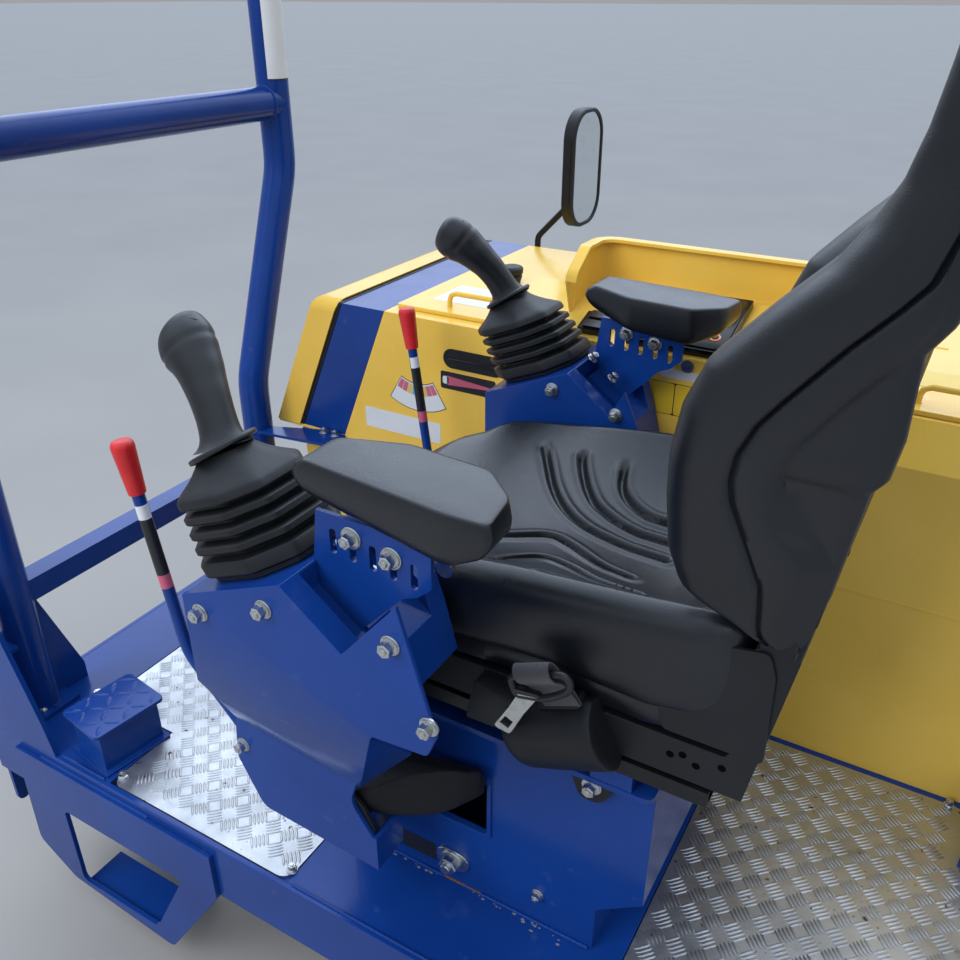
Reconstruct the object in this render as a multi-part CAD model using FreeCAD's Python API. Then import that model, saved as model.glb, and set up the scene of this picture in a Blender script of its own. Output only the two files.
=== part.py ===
import FreeCAD, Part
import math
import os

V = FreeCAD.Vector

# Operator station of a tracked site dumper.
# Frame: +X is the way the operator faces, +Y the operator's left, +Z up.
# The origin is the centre of the four chassis bolts, in the face they clamp.
# All sizes are in millimetres.

# Deck
bearer_thick = 10.0
frame_depth = 110.0
deck = bearer_thick + frame_depth
frame_wall = 8.0
deck_plate = 6.0
tread_thick = 4.0
tread_gap = 2.0
tread_corner = 8.0
tread_outer_corner = 20.0
ledge_wide = 22.0
half_length = 890.0
half_width = 319.0
cross_wide = 139.0
centre_half = 225.0
pedal_bay_long = 162.0
pedal_bay_wide = 135.0
bearer_wide = 80.0
bearer_short = 130.0
bolt_short = 240.0
bolt_inset = 89.0
bolt_x = half_length - bolt_short
bolt_y = half_width - bolt_inset
bolt_hole = 9.0
corner_plate_x = 866.0
corner_plate_wide = 120.0
corner_plate_drop = 190.0

# Pedals
pedal_long = 100.0
pedal_wide = 125.0
pedal_thick = 6.0
pedal_high = 84.0
pedal_yaw = 8.0
pedal_wall = 4.0
pedal_inset = 10.0
pedal_from_front = 250.0
pedal_from_side = 77.0

# Side step, hung on the left side of the deck
step_front = 818.0
step_back = 364.0
step_drop = 318.0
step_slope = 22.0
step_bar = 30.0
step_tread_deep = 70.0

# Guard rails and roll hoop
tube_r = 30.25
guard_x = 838.0
post_inset = 73.0
post_left_y = half_width - post_inset
post_right_y = -352.0
post_jog = -146.0
jog_low = 400.0
jog_high = 800.0
jog_bend = 160.0
upper_rail_z = 917.0
lower_rail_z = 232.0
lower_rail = 40.0
hoop_start = 1500.0
hoop_top = 1950.0
hoop_bend = 170.0
gusset_thick = 8.0
gusset_wide = 62.0
gusset_high = 220.0
foot_web_high = 320.0
bracket_thick = 6.0
bracket_drop = 50.0

# Engine hood
sheet = 3.0
hood_wall = -405.0
hood_wide = 580.0
hood_far = hood_wall - hood_wide
hood_top = 580.0
hood_step = -240.0
hood_back = -750.0
hood_front_edge = 560.0
rear_wall = -half_width
rear_shoulder = 532.0
rear_top = 592.0
rear_bevel = 36.0
bevel_lap = 6.0
cowl_sill = 597.0
nose_low = 300.0
band_low = (651.0, 757.0)
band_high = (536.0, 634.0)
seal_wide = 9.0
seal_proud = 1.0
seal_deep = 8.0
cap_long = 60.0
cap_proud = 5.0
cap_wall = 4.0
cap_round = 26.0
front_frame_thick = 8.0
lid_rise = 5.0
lid_lap = 3.0
lid_seat = 0.5
lid_margin = 15.0
lid_corner = 6.0
front_lid = (205.0, 528.0, -735.0, -436.0)
rear_lid = (-705.0, -285.0, -640.0, -362.0)
handle_r = 5.0
handle_long = 120.0
handle_high = 26.0
handle_bend = 14.0
handle_sink = 1.0
hinge_r = 5.0
hinge_long = 46.0
hinge_gap = 1.0
knob_r = 22.0
knob_high = 20.0
engine_long = 620.0
engine_wide = 460.0
engine_high = 440.0
engine_back = -560.0
engine_side_gap = 55.0

# Instrument cowl
cowl_front = 190.0
cowl_back = -238.0
dash_far = -562.0
dash_rise = 53.0
cowl_corner = 42.0
visor_top = 725.0
visor_near = -446.0
visor_wall = 5.0
visor_lip = 20.0
visor_lip_thick = 6.0
display_size = (-100.0, 62.0, 8.0, 156.0)
display_thick = 14.0
switch_size = (98.0, 150.0, 14.0, 62.0)
switch_thick = 12.0

# Mirror
mirror_foot_x = 520.0
mirror_x = 446.0
mirror_z = 760.0
mirror_wide = 152.0
mirror_high = 246.0
mirror_round = 60.0
mirror_thick = 22.0
mirror_pin = 7.0
mirror_pin_top = 816.0
mirror_stand_off = 22.0
mirror_clip = 26.0
knuckle_r = 13.0
knuckle_high = 22.0

# Pedestal and seat rails
pedestal_half = 190.0
pedestal_front = 200.0
pedestal_back = -185.0
pedestal_top = 305.0
pedestal_wall = 6.0
overhang_low = 76.0
overhang_high = 124.0
window = (-29.0, 63.0, 124.0, 217.0)
window_rim = 6.0
table_front = 215.0
table_back = -245.0
table_half = 205.0
table_thick = 8.0
riser_long = 50.0
riser_high = 32.0
riser_places = (-220.0, 110.0)
rail_y = 196.0
rail_wide = 34.0
rail_high = 20.0
rail_wall = 3.0
rail_mouth = 18.0
rail_front = 170.0
rail_back = -305.0
rail_clear = 0.1
slide_travel = 60.0
rail_z = deck + pedestal_top + table_thick + riser_high

# Seat
pan_gap = 8.0
pan_deep = 50.0
pan_wall = 8.0
pan_flange = 4.0
pan_front = 215.0
pan_back = -338.0
cushion_front = 270.0
cushion_back = -300.0
cushion_half = 222.0
cushion_top = 512.0
cushion_edge = ((270.0, 508.0, 40.0), (60.0, 541.0, 150.0), (-266.0, 580.0, 30.0), (-300.0, 572.0))
cushion_overlap = 10.0
pan_half = cushion_half - 8.0
recline_x = -345.0
recline_z = 585.0
hinge_space = 20.0
hinge_pin = 6.0
pin_clear = 0.05
lug_thick = 12.0
lug_half = 16.0
shell_half = cushion_half + 3.0
shell_thick = 24.0
shell_rear = 27.0
ear_gap = 1.0
seat_top = 1120.0
back_lean = 0.115
bolster_in = cushion_half - 72.0
bolster_out = cushion_half + 8.0
pan_z = rail_z + rail_high + pan_gap

# Belt
retractor_y = 230.0
retractor_wide = 52.0
tongue_thick = 4.0
buckle_y = -229.0
buckle_thick = 14.0
stalk_wide = 24.0

# Consoles, left side; the right side is mirrored
console_in = 235.0
console_out = 400.0
console_top = ((222.0, 545.0), (82.0, 604.0), (12.0, 550.0))
console_rear = (0.0, 515.0)
console_crease = ((-15.0, 456.0), (222.0, 430.0))
wing_thick = 5.0
left_wing = ((-54.0, 628.0), (-93.0, 494.0, 6.0), (-82.0, 467.0, 8.0), (-18.0, 461.0))
right_wing = ((-10.0, 593.0), (-43.0, 521.0), (-30.0, 462.0, 6.0), (-20.0, 458.0))
tray_deep = 22.0
tray_rim = 28.0
flange_foot = ((281.0, 269.0), (85.0, 250.0), (6.0, 343.0))
arm_y = 300.0
arm_thick = 6.0
arm_flange = 50.0
latch_thick = 6.0
gaiter_y = 318.0
gaiter_x = 155.0
gaiter_half = 71.0
gaiter_cut = 0.25
gaiter_base = 26.0
gaiter_folds = 3
gaiter_pitch = 16.0
gaiter_taper = 2.0
gaiter_fold = 10.0
gaiter_lean = 22.6
gaiter_toe = 6.0
dome_high = 48.0
dome_neck = 26.0
lever_r = 8.0
grip_r = 13.0
grip_long = 70.0
lever_toe = 8.0
lever_gap = 1.0
lever_foot = (277.0, 227.0)
lever_knee = (366.0, 335.0)
lever_top = (400.0, 566.0)
lever_bend = 60.0
boss_r = 14.0
pad_low = 662.0
pad_high = 726.0
pad_in = 296.0
pad_out = 381.0
pad_front = 108.0
pad_back = -135.0
pad_toe = 20.0
rest_plate_y = 340.0
rest_plate_thick = 5.0
rest_flange_wide = 36.0
slot_front = 57.0
slot_top = 646.0
slot_pitch = 23.5
slot_drop = 2.5
slot_wide = 8.0
slot_high = 28.0
slot_count = 5


def box(x0, x1, y0, y1, z0, z1):
    low = V(min(x0, x1), min(y0, y1), min(z0, z1))
    return Part.makeBox(abs(x1 - x0), abs(y1 - y0), abs(z1 - z0), low)


def outline(points, place):
    """Closed wire of straight sides; a third number on a point rounds that corner."""
    count = len(points)
    flat = [V(p[0], p[1], 0) for p in points]
    corners = []
    for i in range(count):
        radius = points[i][2] if len(points[i]) > 2 else 0.0
        here = flat[i]
        before = (flat[i - 1] - here).normalize()
        after = (flat[(i + 1) % count] - here).normalize()
        if radius <= 0:
            corners.append((here, None, here))
            continue
        half = before.getAngle(after) / 2
        reach = radius / math.tan(half)
        bisector = (before + after).normalize()
        middle = here + bisector * (radius / math.sin(half) - radius)
        corners.append((here + before * reach, middle, here + after * reach))
    edges = []
    for i in range(count):
        start, middle, end = corners[i]
        if middle is not None:
            arc = Part.Arc(place(start.x, start.y), place(middle.x, middle.y), place(end.x, end.y))
            edges.append(arc.toShape())
        nxt = corners[(i + 1) % count][0]
        if (nxt - end).Length > 1e-6:
            edges.append(Part.makeLine(place(end.x, end.y), place(nxt.x, nxt.y)))
    return Part.Wire(edges)


def prism_xz(points, y0, y1):
    wire = outline(points, lambda a, b: V(a, y0, b))
    return Part.Face(wire).extrude(V(0, y1 - y0, 0))


def prism_yz(points, x0, x1):
    wire = outline(points, lambda a, b: V(x0, a, b))
    return Part.Face(wire).extrude(V(x1 - x0, 0, 0))


def prism_xy(points, z0, z1):
    wire = outline(points, lambda a, b: V(a, b, z0))
    return Part.Face(wire).extrude(V(0, 0, z1 - z0))


def rectangle(x0, x1, y0, y1, radius=0.0):
    return [(x0, y0, radius), (x1, y0, radius), (x1, y1, radius), (x0, y1, radius)]


def fuse(shapes):
    whole = shapes[0]
    for shape in shapes[1:]:
        whole = whole.fuse(shape)
    return whole.removeSplitter()


def group(shapes):
    """Separate solids of one node."""
    return Part.makeCompound(shapes)


def lift(points, rise):
    return [(p[0], p[1] + rise) + tuple(p[2:]) for p in points]


def half_turn(shape):
    turned = shape.copy()
    turned.rotate(V(0, 0, 0), V(0, 0, 1), 180)
    return turned


def mirrored(shape):
    return shape.mirror(V(0, 0, 0), V(0, 1, 0))


def both(shape):
    return group([shape, mirrored(shape)])


def cylinder(start, end, radius):
    a = V(*start)
    b = V(*end)
    return Part.makeCylinder(radius, (b - a).Length, a, b - a)


def ring(centre, along, across, wide, deep, sides):
    """Closed wire of flat sides round a centre, wide along one direction and deep along the other."""
    over = along.cross(across).normalize()
    side = over.cross(along).normalize()
    points = []
    for k in range(sides):
        angle = 2 * math.pi * (k + 0.5) / sides
        points.append(centre + side * (wide * math.cos(angle)) + over * (deep * math.sin(angle)))
    return Part.makePolygon(points + points[:1])


def skin(wires):
    """Solid between closed polygons with one count of corners, in flat faces."""
    loops = [[vertex.Point for vertex in wire.OrderedVertexes] for wire in wires]
    faces = [Part.Face(wires[0]), Part.Face(wires[-1])]
    for low, high in zip(loops, loops[1:]):
        for i in range(len(low)):
            j = (i + 1) % len(low)
            for corners in ((low[i], low[j], high[j]), (low[i], high[j], high[i])):
                faces.append(Part.Face(Part.makePolygon(list(corners) + [corners[0]])))
    shell = Part.makeShell(faces)
    shell.sewShape()
    solid = Part.makeSolid(shell)
    if solid.Volume < 0:
        solid.reverse()
    return solid.removeSplitter()


def rod(points, radius, bend=0.0, sides=12, steps=3):
    """Bar of straight runs joined by bends of one radius, each bend in a few flat steps."""
    corners = [V(*p) for p in points]
    stations = [(corners[0], (corners[1] - corners[0]).normalize())]
    for i in range(1, len(corners) - 1):
        here = corners[i]
        back = (corners[i - 1] - here).normalize()
        on = (corners[i + 1] - here).normalize()
        half = back.getAngle(on) / 2
        start = here + back * (bend / math.tan(half))
        centre = here + (back + on).normalize() * (bend / math.sin(half))
        axis = back.cross(start - centre).normalize()
        for k in range(steps + 1):
            turn = FreeCAD.Rotation(axis, (180 - math.degrees(2 * half)) * k / steps)
            stations.append((centre + turn.multVec(start - centre), turn.multVec(back * -1)))
    stations.append((corners[-1], (corners[-1] - corners[-2]).normalize()))
    across = stations[0][1].cross(V(0.3, 0.2, 1)).normalize()
    wires = []
    for place, along in stations:
        across = (across - along * across.dot(along)).normalize()
        wires.append(ring(place, along, across, radius, radius, sides))
    return skin(wires)


parts = {}


# Deck frame and treads
cross_front = half_length - cross_wide


def deck_frame():
    """Top plates round the two tread pockets, with the ledges that carry the treads."""
    x = half_length - frame_wall
    y = half_width - frame_wall
    plate = deck - deck_plate
    near = hood_wall - ledge_wide
    rear = rear_wall - ledge_wide
    ledge_top = deck - tread_thick
    ledge_low = plate - deck_plate
    pieces = [
        box(-centre_half, centre_half, near, y, plate, deck),
        box(cross_front, x, near, y, plate, deck),
        box(-x, -cross_front, rear, y, plate, deck),
        box(centre_half, cross_front, near, hood_wall, plate, deck),
        box(-cross_front, -centre_half, rear, rear_wall + frame_wall, plate, deck),
        box(cross_front - pedal_bay_long, cross_front, half_width - pedal_bay_wide, y, plate, deck),
        box(-cross_front, -cross_front + pedal_bay_long, rear_wall, rear_wall + pedal_bay_wide, plate, deck),
    ]
    for turn in (1, -1):
        inner = centre_half * turn
        outer = cross_front * turn
        pieces.append(box(inner, inner + turn * ledge_wide, rear_wall, y, ledge_low, ledge_top))
        pieces.append(box(outer, outer - turn * ledge_wide, rear_wall, y, ledge_low, ledge_top))
    return fuse(pieces)


def deck_side_beams():
    x = half_length
    t = frame_wall
    low = bearer_thick
    plate = deck - deck_plate
    return group([
        box(-x, x, half_width - t, half_width, low, deck),
        box(-x, x, hood_far, hood_far + t, low, deck),
        box(hood_step, x - t, hood_wall - t, hood_wall, low, plate),
        box(-x + t, hood_step, rear_wall - t, rear_wall, low, plate),
    ])


def deck_end_beams():
    front = box(half_length - frame_wall, half_length, hood_far + frame_wall, half_width - frame_wall,
                bearer_thick, deck)
    back = box(-half_length, -half_length + frame_wall, hood_far + frame_wall, half_width - frame_wall,
               bearer_thick, deck)
    return group([front, back])


def deck_bearers():
    """Mounting flats under the deck, each with a web up to the ledges."""
    long_half = half_length - bearer_short
    web_top = deck - 2 * deck_plate
    bearers = []
    for side in (-1, 1):
        near = side * (bolt_y - bearer_wide / 2)
        outer = side * (bolt_y + bearer_wide / 2)
        flat = box(-long_half, long_half, near, outer, 0, bearer_thick)
        web = box(-long_half, long_half, outer - side * frame_wall, outer, 0, web_top)
        bearer = fuse([flat, web])
        for x in (-bolt_x, bolt_x):
            bearer = bearer.cut(cylinder((x, side * bolt_y, -1), (x, side * bolt_y, bearer_thick + 1), bolt_hole))
        bearers.append(bearer)
    return group(bearers)


def deck_cross_members():
    """Four cross members, each in the lengths that fit between the beams and the bearer webs."""
    t = frame_wall
    web = bolt_y + bearer_wide / 2
    segments = []
    for x in (-cross_front - t, -centre_half, centre_half - t, cross_front):
        wall = hood_wall if x > hood_step else rear_wall
        stops = [(hood_far + t, wall - t), (wall, -web), (t - web, web - t), (web, half_width - t)]
        for y0, y1 in stops:
            segments.append(box(x, x + t, y0, y1, bearer_thick, deck - deck_plate))
    return group(segments)


def tread_plate(far_edge):
    g = tread_gap
    r = tread_corner
    x0 = centre_half + g
    x1 = half_length - cross_wide - g
    x2 = half_length - cross_wide - pedal_bay_long - g
    y0 = far_edge + g
    y1 = half_width - frame_wall - g
    y2 = half_width - pedal_bay_wide - g
    points = [(x0, y0, r), (x1, y0, r), (x1, y2, r), (x2, y2), (x2, y1, tread_outer_corner),
              (x0, y1, tread_outer_corner)]
    return prism_xy(points, deck - tread_thick, deck)


def corner_plate():
    """Slotted plate under the deck's front left corner."""
    y0 = half_width - corner_plate_wide
    y1 = half_width
    z1 = deck - deck_plate
    z0 = deck - corner_plate_drop
    t = frame_wall
    plate = prism_yz([(y0, z1), (y1, z1), (y1, z0, 12), (y0, z0 + 40, 12)], corner_plate_x, corner_plate_x + t)
    slot = prism_yz([(y1 - 44, z0 + 30, 9), (y1 - 24, z0 + 30, 9), (y1 - 24, z0 + 96, 9), (y1 - 44, z0 + 96, 9)],
                    corner_plate_x - 1, corner_plate_x + t + 1)
    beam = box(corner_plate_x - 1, corner_plate_x + t + 1, y1 - t, y1 + 1, bearer_thick, z1 + 1)
    return plate.cut(slot).cut(beam)


def pedal():
    top = deck + pedal_high
    half_l = pedal_long / 2
    half_w = pedal_wide / 2
    inset = pedal_inset
    w = pedal_wall
    under = top - pedal_thick
    plate = prism_xy(rectangle(-half_l, half_l, -half_w, half_w, inset), under, top)
    stem = box(-half_l + inset, half_l - inset, -half_w + inset, half_w - inset, deck, under)
    hollow = box(-half_l + inset + w, half_l - inset + 1, -half_w + inset + w, half_w - inset - w,
                 deck + w, under - 3 * w)
    base = box(-half_l, half_l + inset / 2, -half_w + w, half_w - w, deck, deck + w)
    shape = fuse([plate, stem.cut(hollow), base])
    shape.rotate(V(0, 0, 0), V(0, 0, 1), -pedal_yaw)
    shape.translate(V(half_length - pedal_from_front, half_width - pedal_from_side, 0))
    return shape


def side_step():
    y0 = half_width
    y1 = half_width + frame_wall
    hang = 20.0
    front = step_front
    back = step_back
    low = -step_drop
    plate = prism_xz(lift([(front - 8, -hang), (front, low + 76, 20), (front - 78, low + 20, 30),
                           (back + 136, low, 20), (back, -110, 12), (back, -hang)], deck), y0, y1)
    hole = prism_xz(lift([(front - 103, -118, 10), (back + 76, -118, 10), (back + 167, low + step_bar, 12),
                          (front - 103, low + step_bar, 12)], deck), y0 - 1, y1 + 1)
    tread = box(back + 161, front - 103, y0 - step_tread_deep, y0, deck + low + 14, deck + low + 14 + frame_wall)
    return fuse([plate.cut(hole), tread])


def post_foot_left():
    x = guard_x
    y = post_left_y
    t = gusset_thick
    outer = half_width - t
    across = prism_yz([(y - tube_r, deck), (y - tube_r - gusset_wide, deck), (y - tube_r - gusset_wide, deck + 30),
                       (y - tube_r, deck + gusset_high)], x - t / 2, x + t / 2)
    web = prism_xz(lift([(x - 130, 0), (x + 32, 0), (x + 32, foot_web_high - 120), (x, foot_web_high),
                         (x - 32, foot_web_high), (x - 116, 60)], deck), outer, half_width)
    tie = box(x - tube_r, x + tube_r, y + tube_r - 2, outer, deck + 150, deck + 150 + t)
    foot = box(x - 44, x + 44, y - 44, outer, deck, deck + t)
    body = fuse([across, web, tie, foot])
    return body.cut(cylinder((x, y, deck - 1), (x, y, deck + hoop_start), tube_r))


def right_post():
    x = guard_x
    y = post_right_y
    return rod([(x, y, deck), (x, y, deck + jog_low), (x, y + post_jog, deck + jog_high),
                (x, y + post_jog, deck + hoop_start)], tube_r, jog_bend, 24, 3)


def roll_hoop():
    x = guard_x
    a = post_left_y
    b = post_right_y + post_jog
    z0 = deck + hoop_start
    z1 = deck + hoop_top
    return rod([(x, a, z0), (x, a, z1), (x, b, z1), (x, b, z0)], tube_r, hoop_bend, 24, 7)


def right_post_bracket():
    z = deck + nose_low
    x = guard_x
    y = post_right_y
    t = bracket_thick
    wall = hood_wall
    x0 = band_low[0] - 6
    x1 = x0 + 55
    plate = prism_xy([(x, y + tube_r - 4), (x, y), (x1, wall), (x0 + 5, wall), (x0, y)], z - t, z)
    flange = prism_xz([(x0, z - bracket_drop), (x1, z - bracket_drop), (x1 + 60, z - t), (x0, z - t)], wall, wall + t)
    return fuse([plate, flange]).cut(parts["right_post"])


parts["deck_frame"] = deck_frame()
parts["deck_side_beams"] = deck_side_beams()
parts["deck_end_beams"] = deck_end_beams()
parts["deck_bearers"] = deck_bearers()
parts["deck_cross_members"] = deck_cross_members()
parts["tread_plates"] = group([tread_plate(hood_wall), half_turn(tread_plate(rear_wall + frame_wall))])
parts["corner_plate"] = corner_plate()
parts["foot_pedals"] = group([pedal(), half_turn(pedal())])
parts["side_step"] = side_step()
parts["left_post_foot"] = post_foot_left()
parts["left_post"] = cylinder((guard_x, post_left_y, deck), (guard_x, post_left_y, deck + hoop_start), tube_r)
parts["right_post"] = right_post()
parts["roll_hoop"] = roll_hoop()

right_top_y = post_right_y + post_jog
upper_bar = cylinder((guard_x, right_top_y, deck + upper_rail_z), (guard_x, post_left_y, deck + upper_rail_z), tube_r)
parts["upper_rail"] = upper_bar.cut(parts["left_post"]).cut(parts["right_post"])
half_bar = lower_rail / 2
lower_bar = box(guard_x - half_bar, guard_x + half_bar, post_right_y, post_left_y,
                deck + lower_rail_z - half_bar, deck + lower_rail_z + half_bar)
parts["lower_rail"] = lower_bar.cut(parts["left_post"]).cut(parts["right_post"]).cut(parts["left_post_foot"])
parts["right_post_bracket"] = right_post_bracket()


# Engine hood
def hood_side_panel():
    points = [(hood_step, 0), (hood_front_edge, 0), (hood_front_edge, nose_low), (band_low[0], nose_low),
              (band_high[0], hood_top), (cowl_front, hood_top), (cowl_front, cowl_sill), (hood_step, cowl_sill)]
    return prism_xz(lift(points, deck), hood_wall - sheet, hood_wall)


def hood_rear_side():
    near = rear_wall
    shoulder = deck + rear_shoulder
    top = deck + rear_top
    crown = near - rear_bevel
    section = [(near, deck), (near, shoulder), (crown, top), (crown - bevel_lap, top),
               (crown - bevel_lap, top - sheet), (near - sheet, shoulder), (near - sheet, deck)]
    skin = prism_yz(section, hood_back, hood_step)
    end = box(hood_step - sheet, hood_step, hood_wall, near - sheet, deck, shoulder)
    return fuse([skin, end])


def hood_band():
    z0 = deck + nose_low
    z1 = deck + hood_top
    outer = prism_xz([(band_low[0], z0), (band_low[1], z0), (band_high[1], z1), (band_high[0], z1)],
                     hood_far, hood_wall)
    inner = box(0, half_length, hood_far + sheet, hood_wall - sheet, z0 - 1, z1 - sheet)
    return outer.cut(inner)


def nose_strip(start, length, proud, round_side, round_front):
    """Solid slice of the nose: leaning front, rounded towards the sides and the top."""
    z0 = deck + nose_low
    z1 = deck + hood_top + proud
    lean = (band_low[1] - band_high[1]) / (hood_top - nose_low)
    xa = band_low[1] + start
    xb = band_high[1] + start - lean * proud
    profile = prism_xz([(xa, z0), (xa + length, z0), (xb + length, z1, round_front), (xb, z1)],
                       hood_far - proud - 1, hood_wall + proud + 1)
    section = prism_yz([(hood_far - proud, z0 - 1), (hood_wall + proud, z0 - 1), (hood_wall + proud, z1, round_side),
                        (hood_far - proud, z1, round_side)], xb - 1, xa + length + 1)
    return profile.common(section)


def hood_seal():
    outer = nose_strip(0, seal_wide, seal_proud, lid_corner, 0.0)
    inner = nose_strip(-1, seal_wide + 2, -seal_deep, cap_wall, 0.0)
    return outer.cut(inner)


def hood_cap():
    outer = nose_strip(seal_wide, cap_long, cap_proud, cap_round, cap_round)
    inner_round = cap_round - cap_wall
    inner = nose_strip(seal_wide - 1, cap_long + 1 - cap_wall, cap_proud - cap_wall, inner_round, inner_round)
    return outer.cut(inner)


def hood_front_frame():
    z1 = deck + nose_low
    t = front_frame_thick
    front_x = band_low[1]
    front = box(front_x - t, front_x, hood_far, hood_wall, deck, z1)
    side = box(hood_front_edge, front_x - t, hood_wall - bracket_thick, hood_wall, deck, z1)
    shelf = box(hood_front_edge, front_x + seal_wide + cap_long, hood_far, hood_wall, z1 - bracket_thick, z1)
    return fuse([front, side, shelf])


def hood_far_panel():
    points = [(hood_back, 0), (hood_front_edge, 0), (hood_front_edge, nose_low), (band_low[0], nose_low),
              (band_high[0], hood_top), (hood_step, hood_top), (hood_step, rear_top), (hood_back, rear_top)]
    return prism_xz(lift(points, deck), hood_far, hood_far + sheet)


def lid_hole(size, z):
    m = lid_margin
    return box(size[0] + m, size[1] - m, size[2] + m, size[3] - m, z - 20, z + 1)


def hood_front_top():
    z1 = deck + hood_top
    plate = box(hood_step, band_high[0], hood_far + sheet, hood_wall - sheet, z1 - sheet, z1)
    return fuse([plate.cut(lid_hole(front_lid, z1))] + hinge_barrels(front_lid, z1))


def hood_rear_top():
    z1 = deck + rear_top
    near = rear_wall - rear_bevel - bevel_lap
    plate = box(hood_back, hood_step, hood_far + sheet, near, z1 - sheet, z1)
    drop = box(hood_step - sheet, hood_step, hood_far + sheet, hood_wall, deck + hood_top, z1)
    return fuse([plate.cut(lid_hole(rear_lid, z1)), drop] + hinge_barrels(rear_lid, z1))


def hood_end_panel():
    section = [(rear_wall - sheet, deck), (rear_wall - sheet, deck + rear_shoulder),
               (rear_wall - rear_bevel - bevel_lap, deck + rear_top - sheet),
               (hood_far + sheet, deck + rear_top - sheet), (hood_far + sheet, deck)]
    return prism_yz(section, hood_back, hood_back + sheet)


def hinge_barrels(size, z):
    """Two barrels beside a lid's far edge, on the line it turns about."""
    barrels = []
    y = size[2] - hinge_gap - hinge_r
    for share in (0.2, 0.8):
        x = size[0] + (size[1] - size[0]) * share
        a = V(x - hinge_long / 2, y, z + hinge_r)
        b = V(x + hinge_long / 2, y, z + hinge_r)
        wires = [ring(end, V(1, 0, 0), V(0, 1, 0), hinge_r, hinge_r, 12) for end in (a, b)]
        leaf = box(a.x, b.x, y - 3 * hinge_r, y, z, z + sheet)
        barrels += [skin(wires), leaf]
    return barrels


def lid(size, z, handle_x, handle_inset):
    x0, x1, y0, y1 = size
    top = z + lid_rise + lid_lap
    skin = prism_xy(rectangle(x0, x1, y0, y1, lid_corner), z + lid_seat, top)
    y = y1 - handle_inset
    a = handle_x - handle_long / 2
    b = handle_x + handle_long / 2
    low = top - handle_sink
    high = top + handle_high
    wire = rod([(a, y, low), (a, y, high), (b, y, high), (b, y, low)], handle_r, handle_bend, 10, 2)
    return fuse([skin, wire])


def lid_knob():
    z = deck + hood_top + lid_rise + lid_lap
    x = (front_lid[0] + front_lid[1]) / 2 + 42
    y = front_lid[2] + 71
    wires = [ring(V(x, y, z + rise), V(0, 0, 1), V(1, 0, 0), r, r, 16)
             for rise, r in ((0, knob_r - 4), (knob_high - 5, knob_r), (knob_high, knob_r - 4))]
    return skin(wires)


lid_z = deck + hood_top
rear_lid_z = deck + rear_top
parts["hood_side_panel"] = hood_side_panel()
parts["hood_rear_side"] = hood_rear_side()
parts["hood_band"] = hood_band()
parts["hood_seal"] = hood_seal()
parts["hood_nose_cap"] = hood_cap()
parts["hood_front_frame"] = hood_front_frame()
parts["hood_far_panel"] = hood_far_panel()
parts["hood_front_top"] = hood_front_top()
parts["hood_rear_top"] = hood_rear_top()
parts["hood_end_panel"] = hood_end_panel()
parts["front_lid"] = lid(front_lid, lid_z, (front_lid[0] + front_lid[1]) / 2 + 6, 34)
parts["rear_lid"] = lid(rear_lid, rear_lid_z, (rear_lid[0] + rear_lid[1]) / 2 + 55, 26)
parts["lid_knob"] = lid_knob()
engine_near = hood_wall - engine_side_gap
parts["engine_block"] = box(engine_back, engine_back + engine_long, engine_near - engine_wide, engine_near,
                            deck - deck_plate, deck + engine_high)


def cowl():
    z0 = deck + hood_top
    sill = deck + cowl_sill
    rise = sill + dash_rise
    top = deck + visor_top
    near = hood_wall - sheet
    far = dash_far - visor_lip - visor_wall
    r = cowl_corner
    w = visor_wall

    def plan(inset, edge):
        corner = r - inset
        return prism_xy([(cowl_back + inset, far + inset, corner), (cowl_front - inset, far + inset, corner),
                         (cowl_front - inset, edge), (cowl_back + inset, edge)], z0 - 1, top + 1)

    block = plan(0, near)
    dash = prism_yz([(near, z0), (near, sill), (dash_far, rise), (far, rise), (far, z0)], cowl_back, cowl_front)
    brim = [(far - 1, top), (visor_near - 56, top, 20), (visor_near - 6, top - 34, 24), (visor_near, deck + 676)]
    profile = prism_yz(brim + [(visor_near - 34, z0), (far - 1, z0)], cowl_back, cowl_front)
    lower = profile.copy()
    lower.translate(V(0, 0, -visor_lip_thick))
    walls = block.cut(plan(w, near + w)).common(profile)
    lip = block.cut(plan(visor_lip, near + w)).common(profile.cut(lower))
    return fuse([dash.common(block), walls, lip])


def on_dash(size, thick):
    """Slab lying on the sloping dash: x from and to, then distance up the slope from and to."""
    x0, x1, t0, t1 = size
    length = math.hypot(hood_wall - dash_far, dash_rise)
    ay = (dash_far - hood_wall) / length
    az = dash_rise / length
    sill = deck + cowl_sill

    def at(t, n):
        return (hood_wall + ay * t + az * n, sill + az * t - ay * n)

    return prism_yz([at(t0, 0), at(t1, 0), at(t1, thick), at(t0, thick)], x0, x1)


parts["instrument_cowl"] = cowl()
parts["display_unit"] = on_dash(display_size, display_thick).cut(parts["instrument_cowl"])
parts["switch_block"] = on_dash(switch_size, switch_thick).cut(parts["instrument_cowl"])


def mirror_arm():
    z = deck + hood_top
    foot_y = hood_far - mirror_clip / 2
    y = hood_far - mirror_stand_off
    x = mirror_foot_x
    arm = rod([(x, foot_y, z - 60), (x, foot_y, z + 20), (mirror_x, y, z + 100), (mirror_x, y, deck + mirror_z - 60)],
              mirror_pin, 24)
    pin = cylinder((mirror_x, y, deck + mirror_z - 62), (mirror_x, y, deck + mirror_pin_top), mirror_pin)
    clip = box(x - 20, x + 20, hood_far - mirror_clip, hood_far, z - 70, z - 30)
    return fuse([arm, pin, clip])


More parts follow.
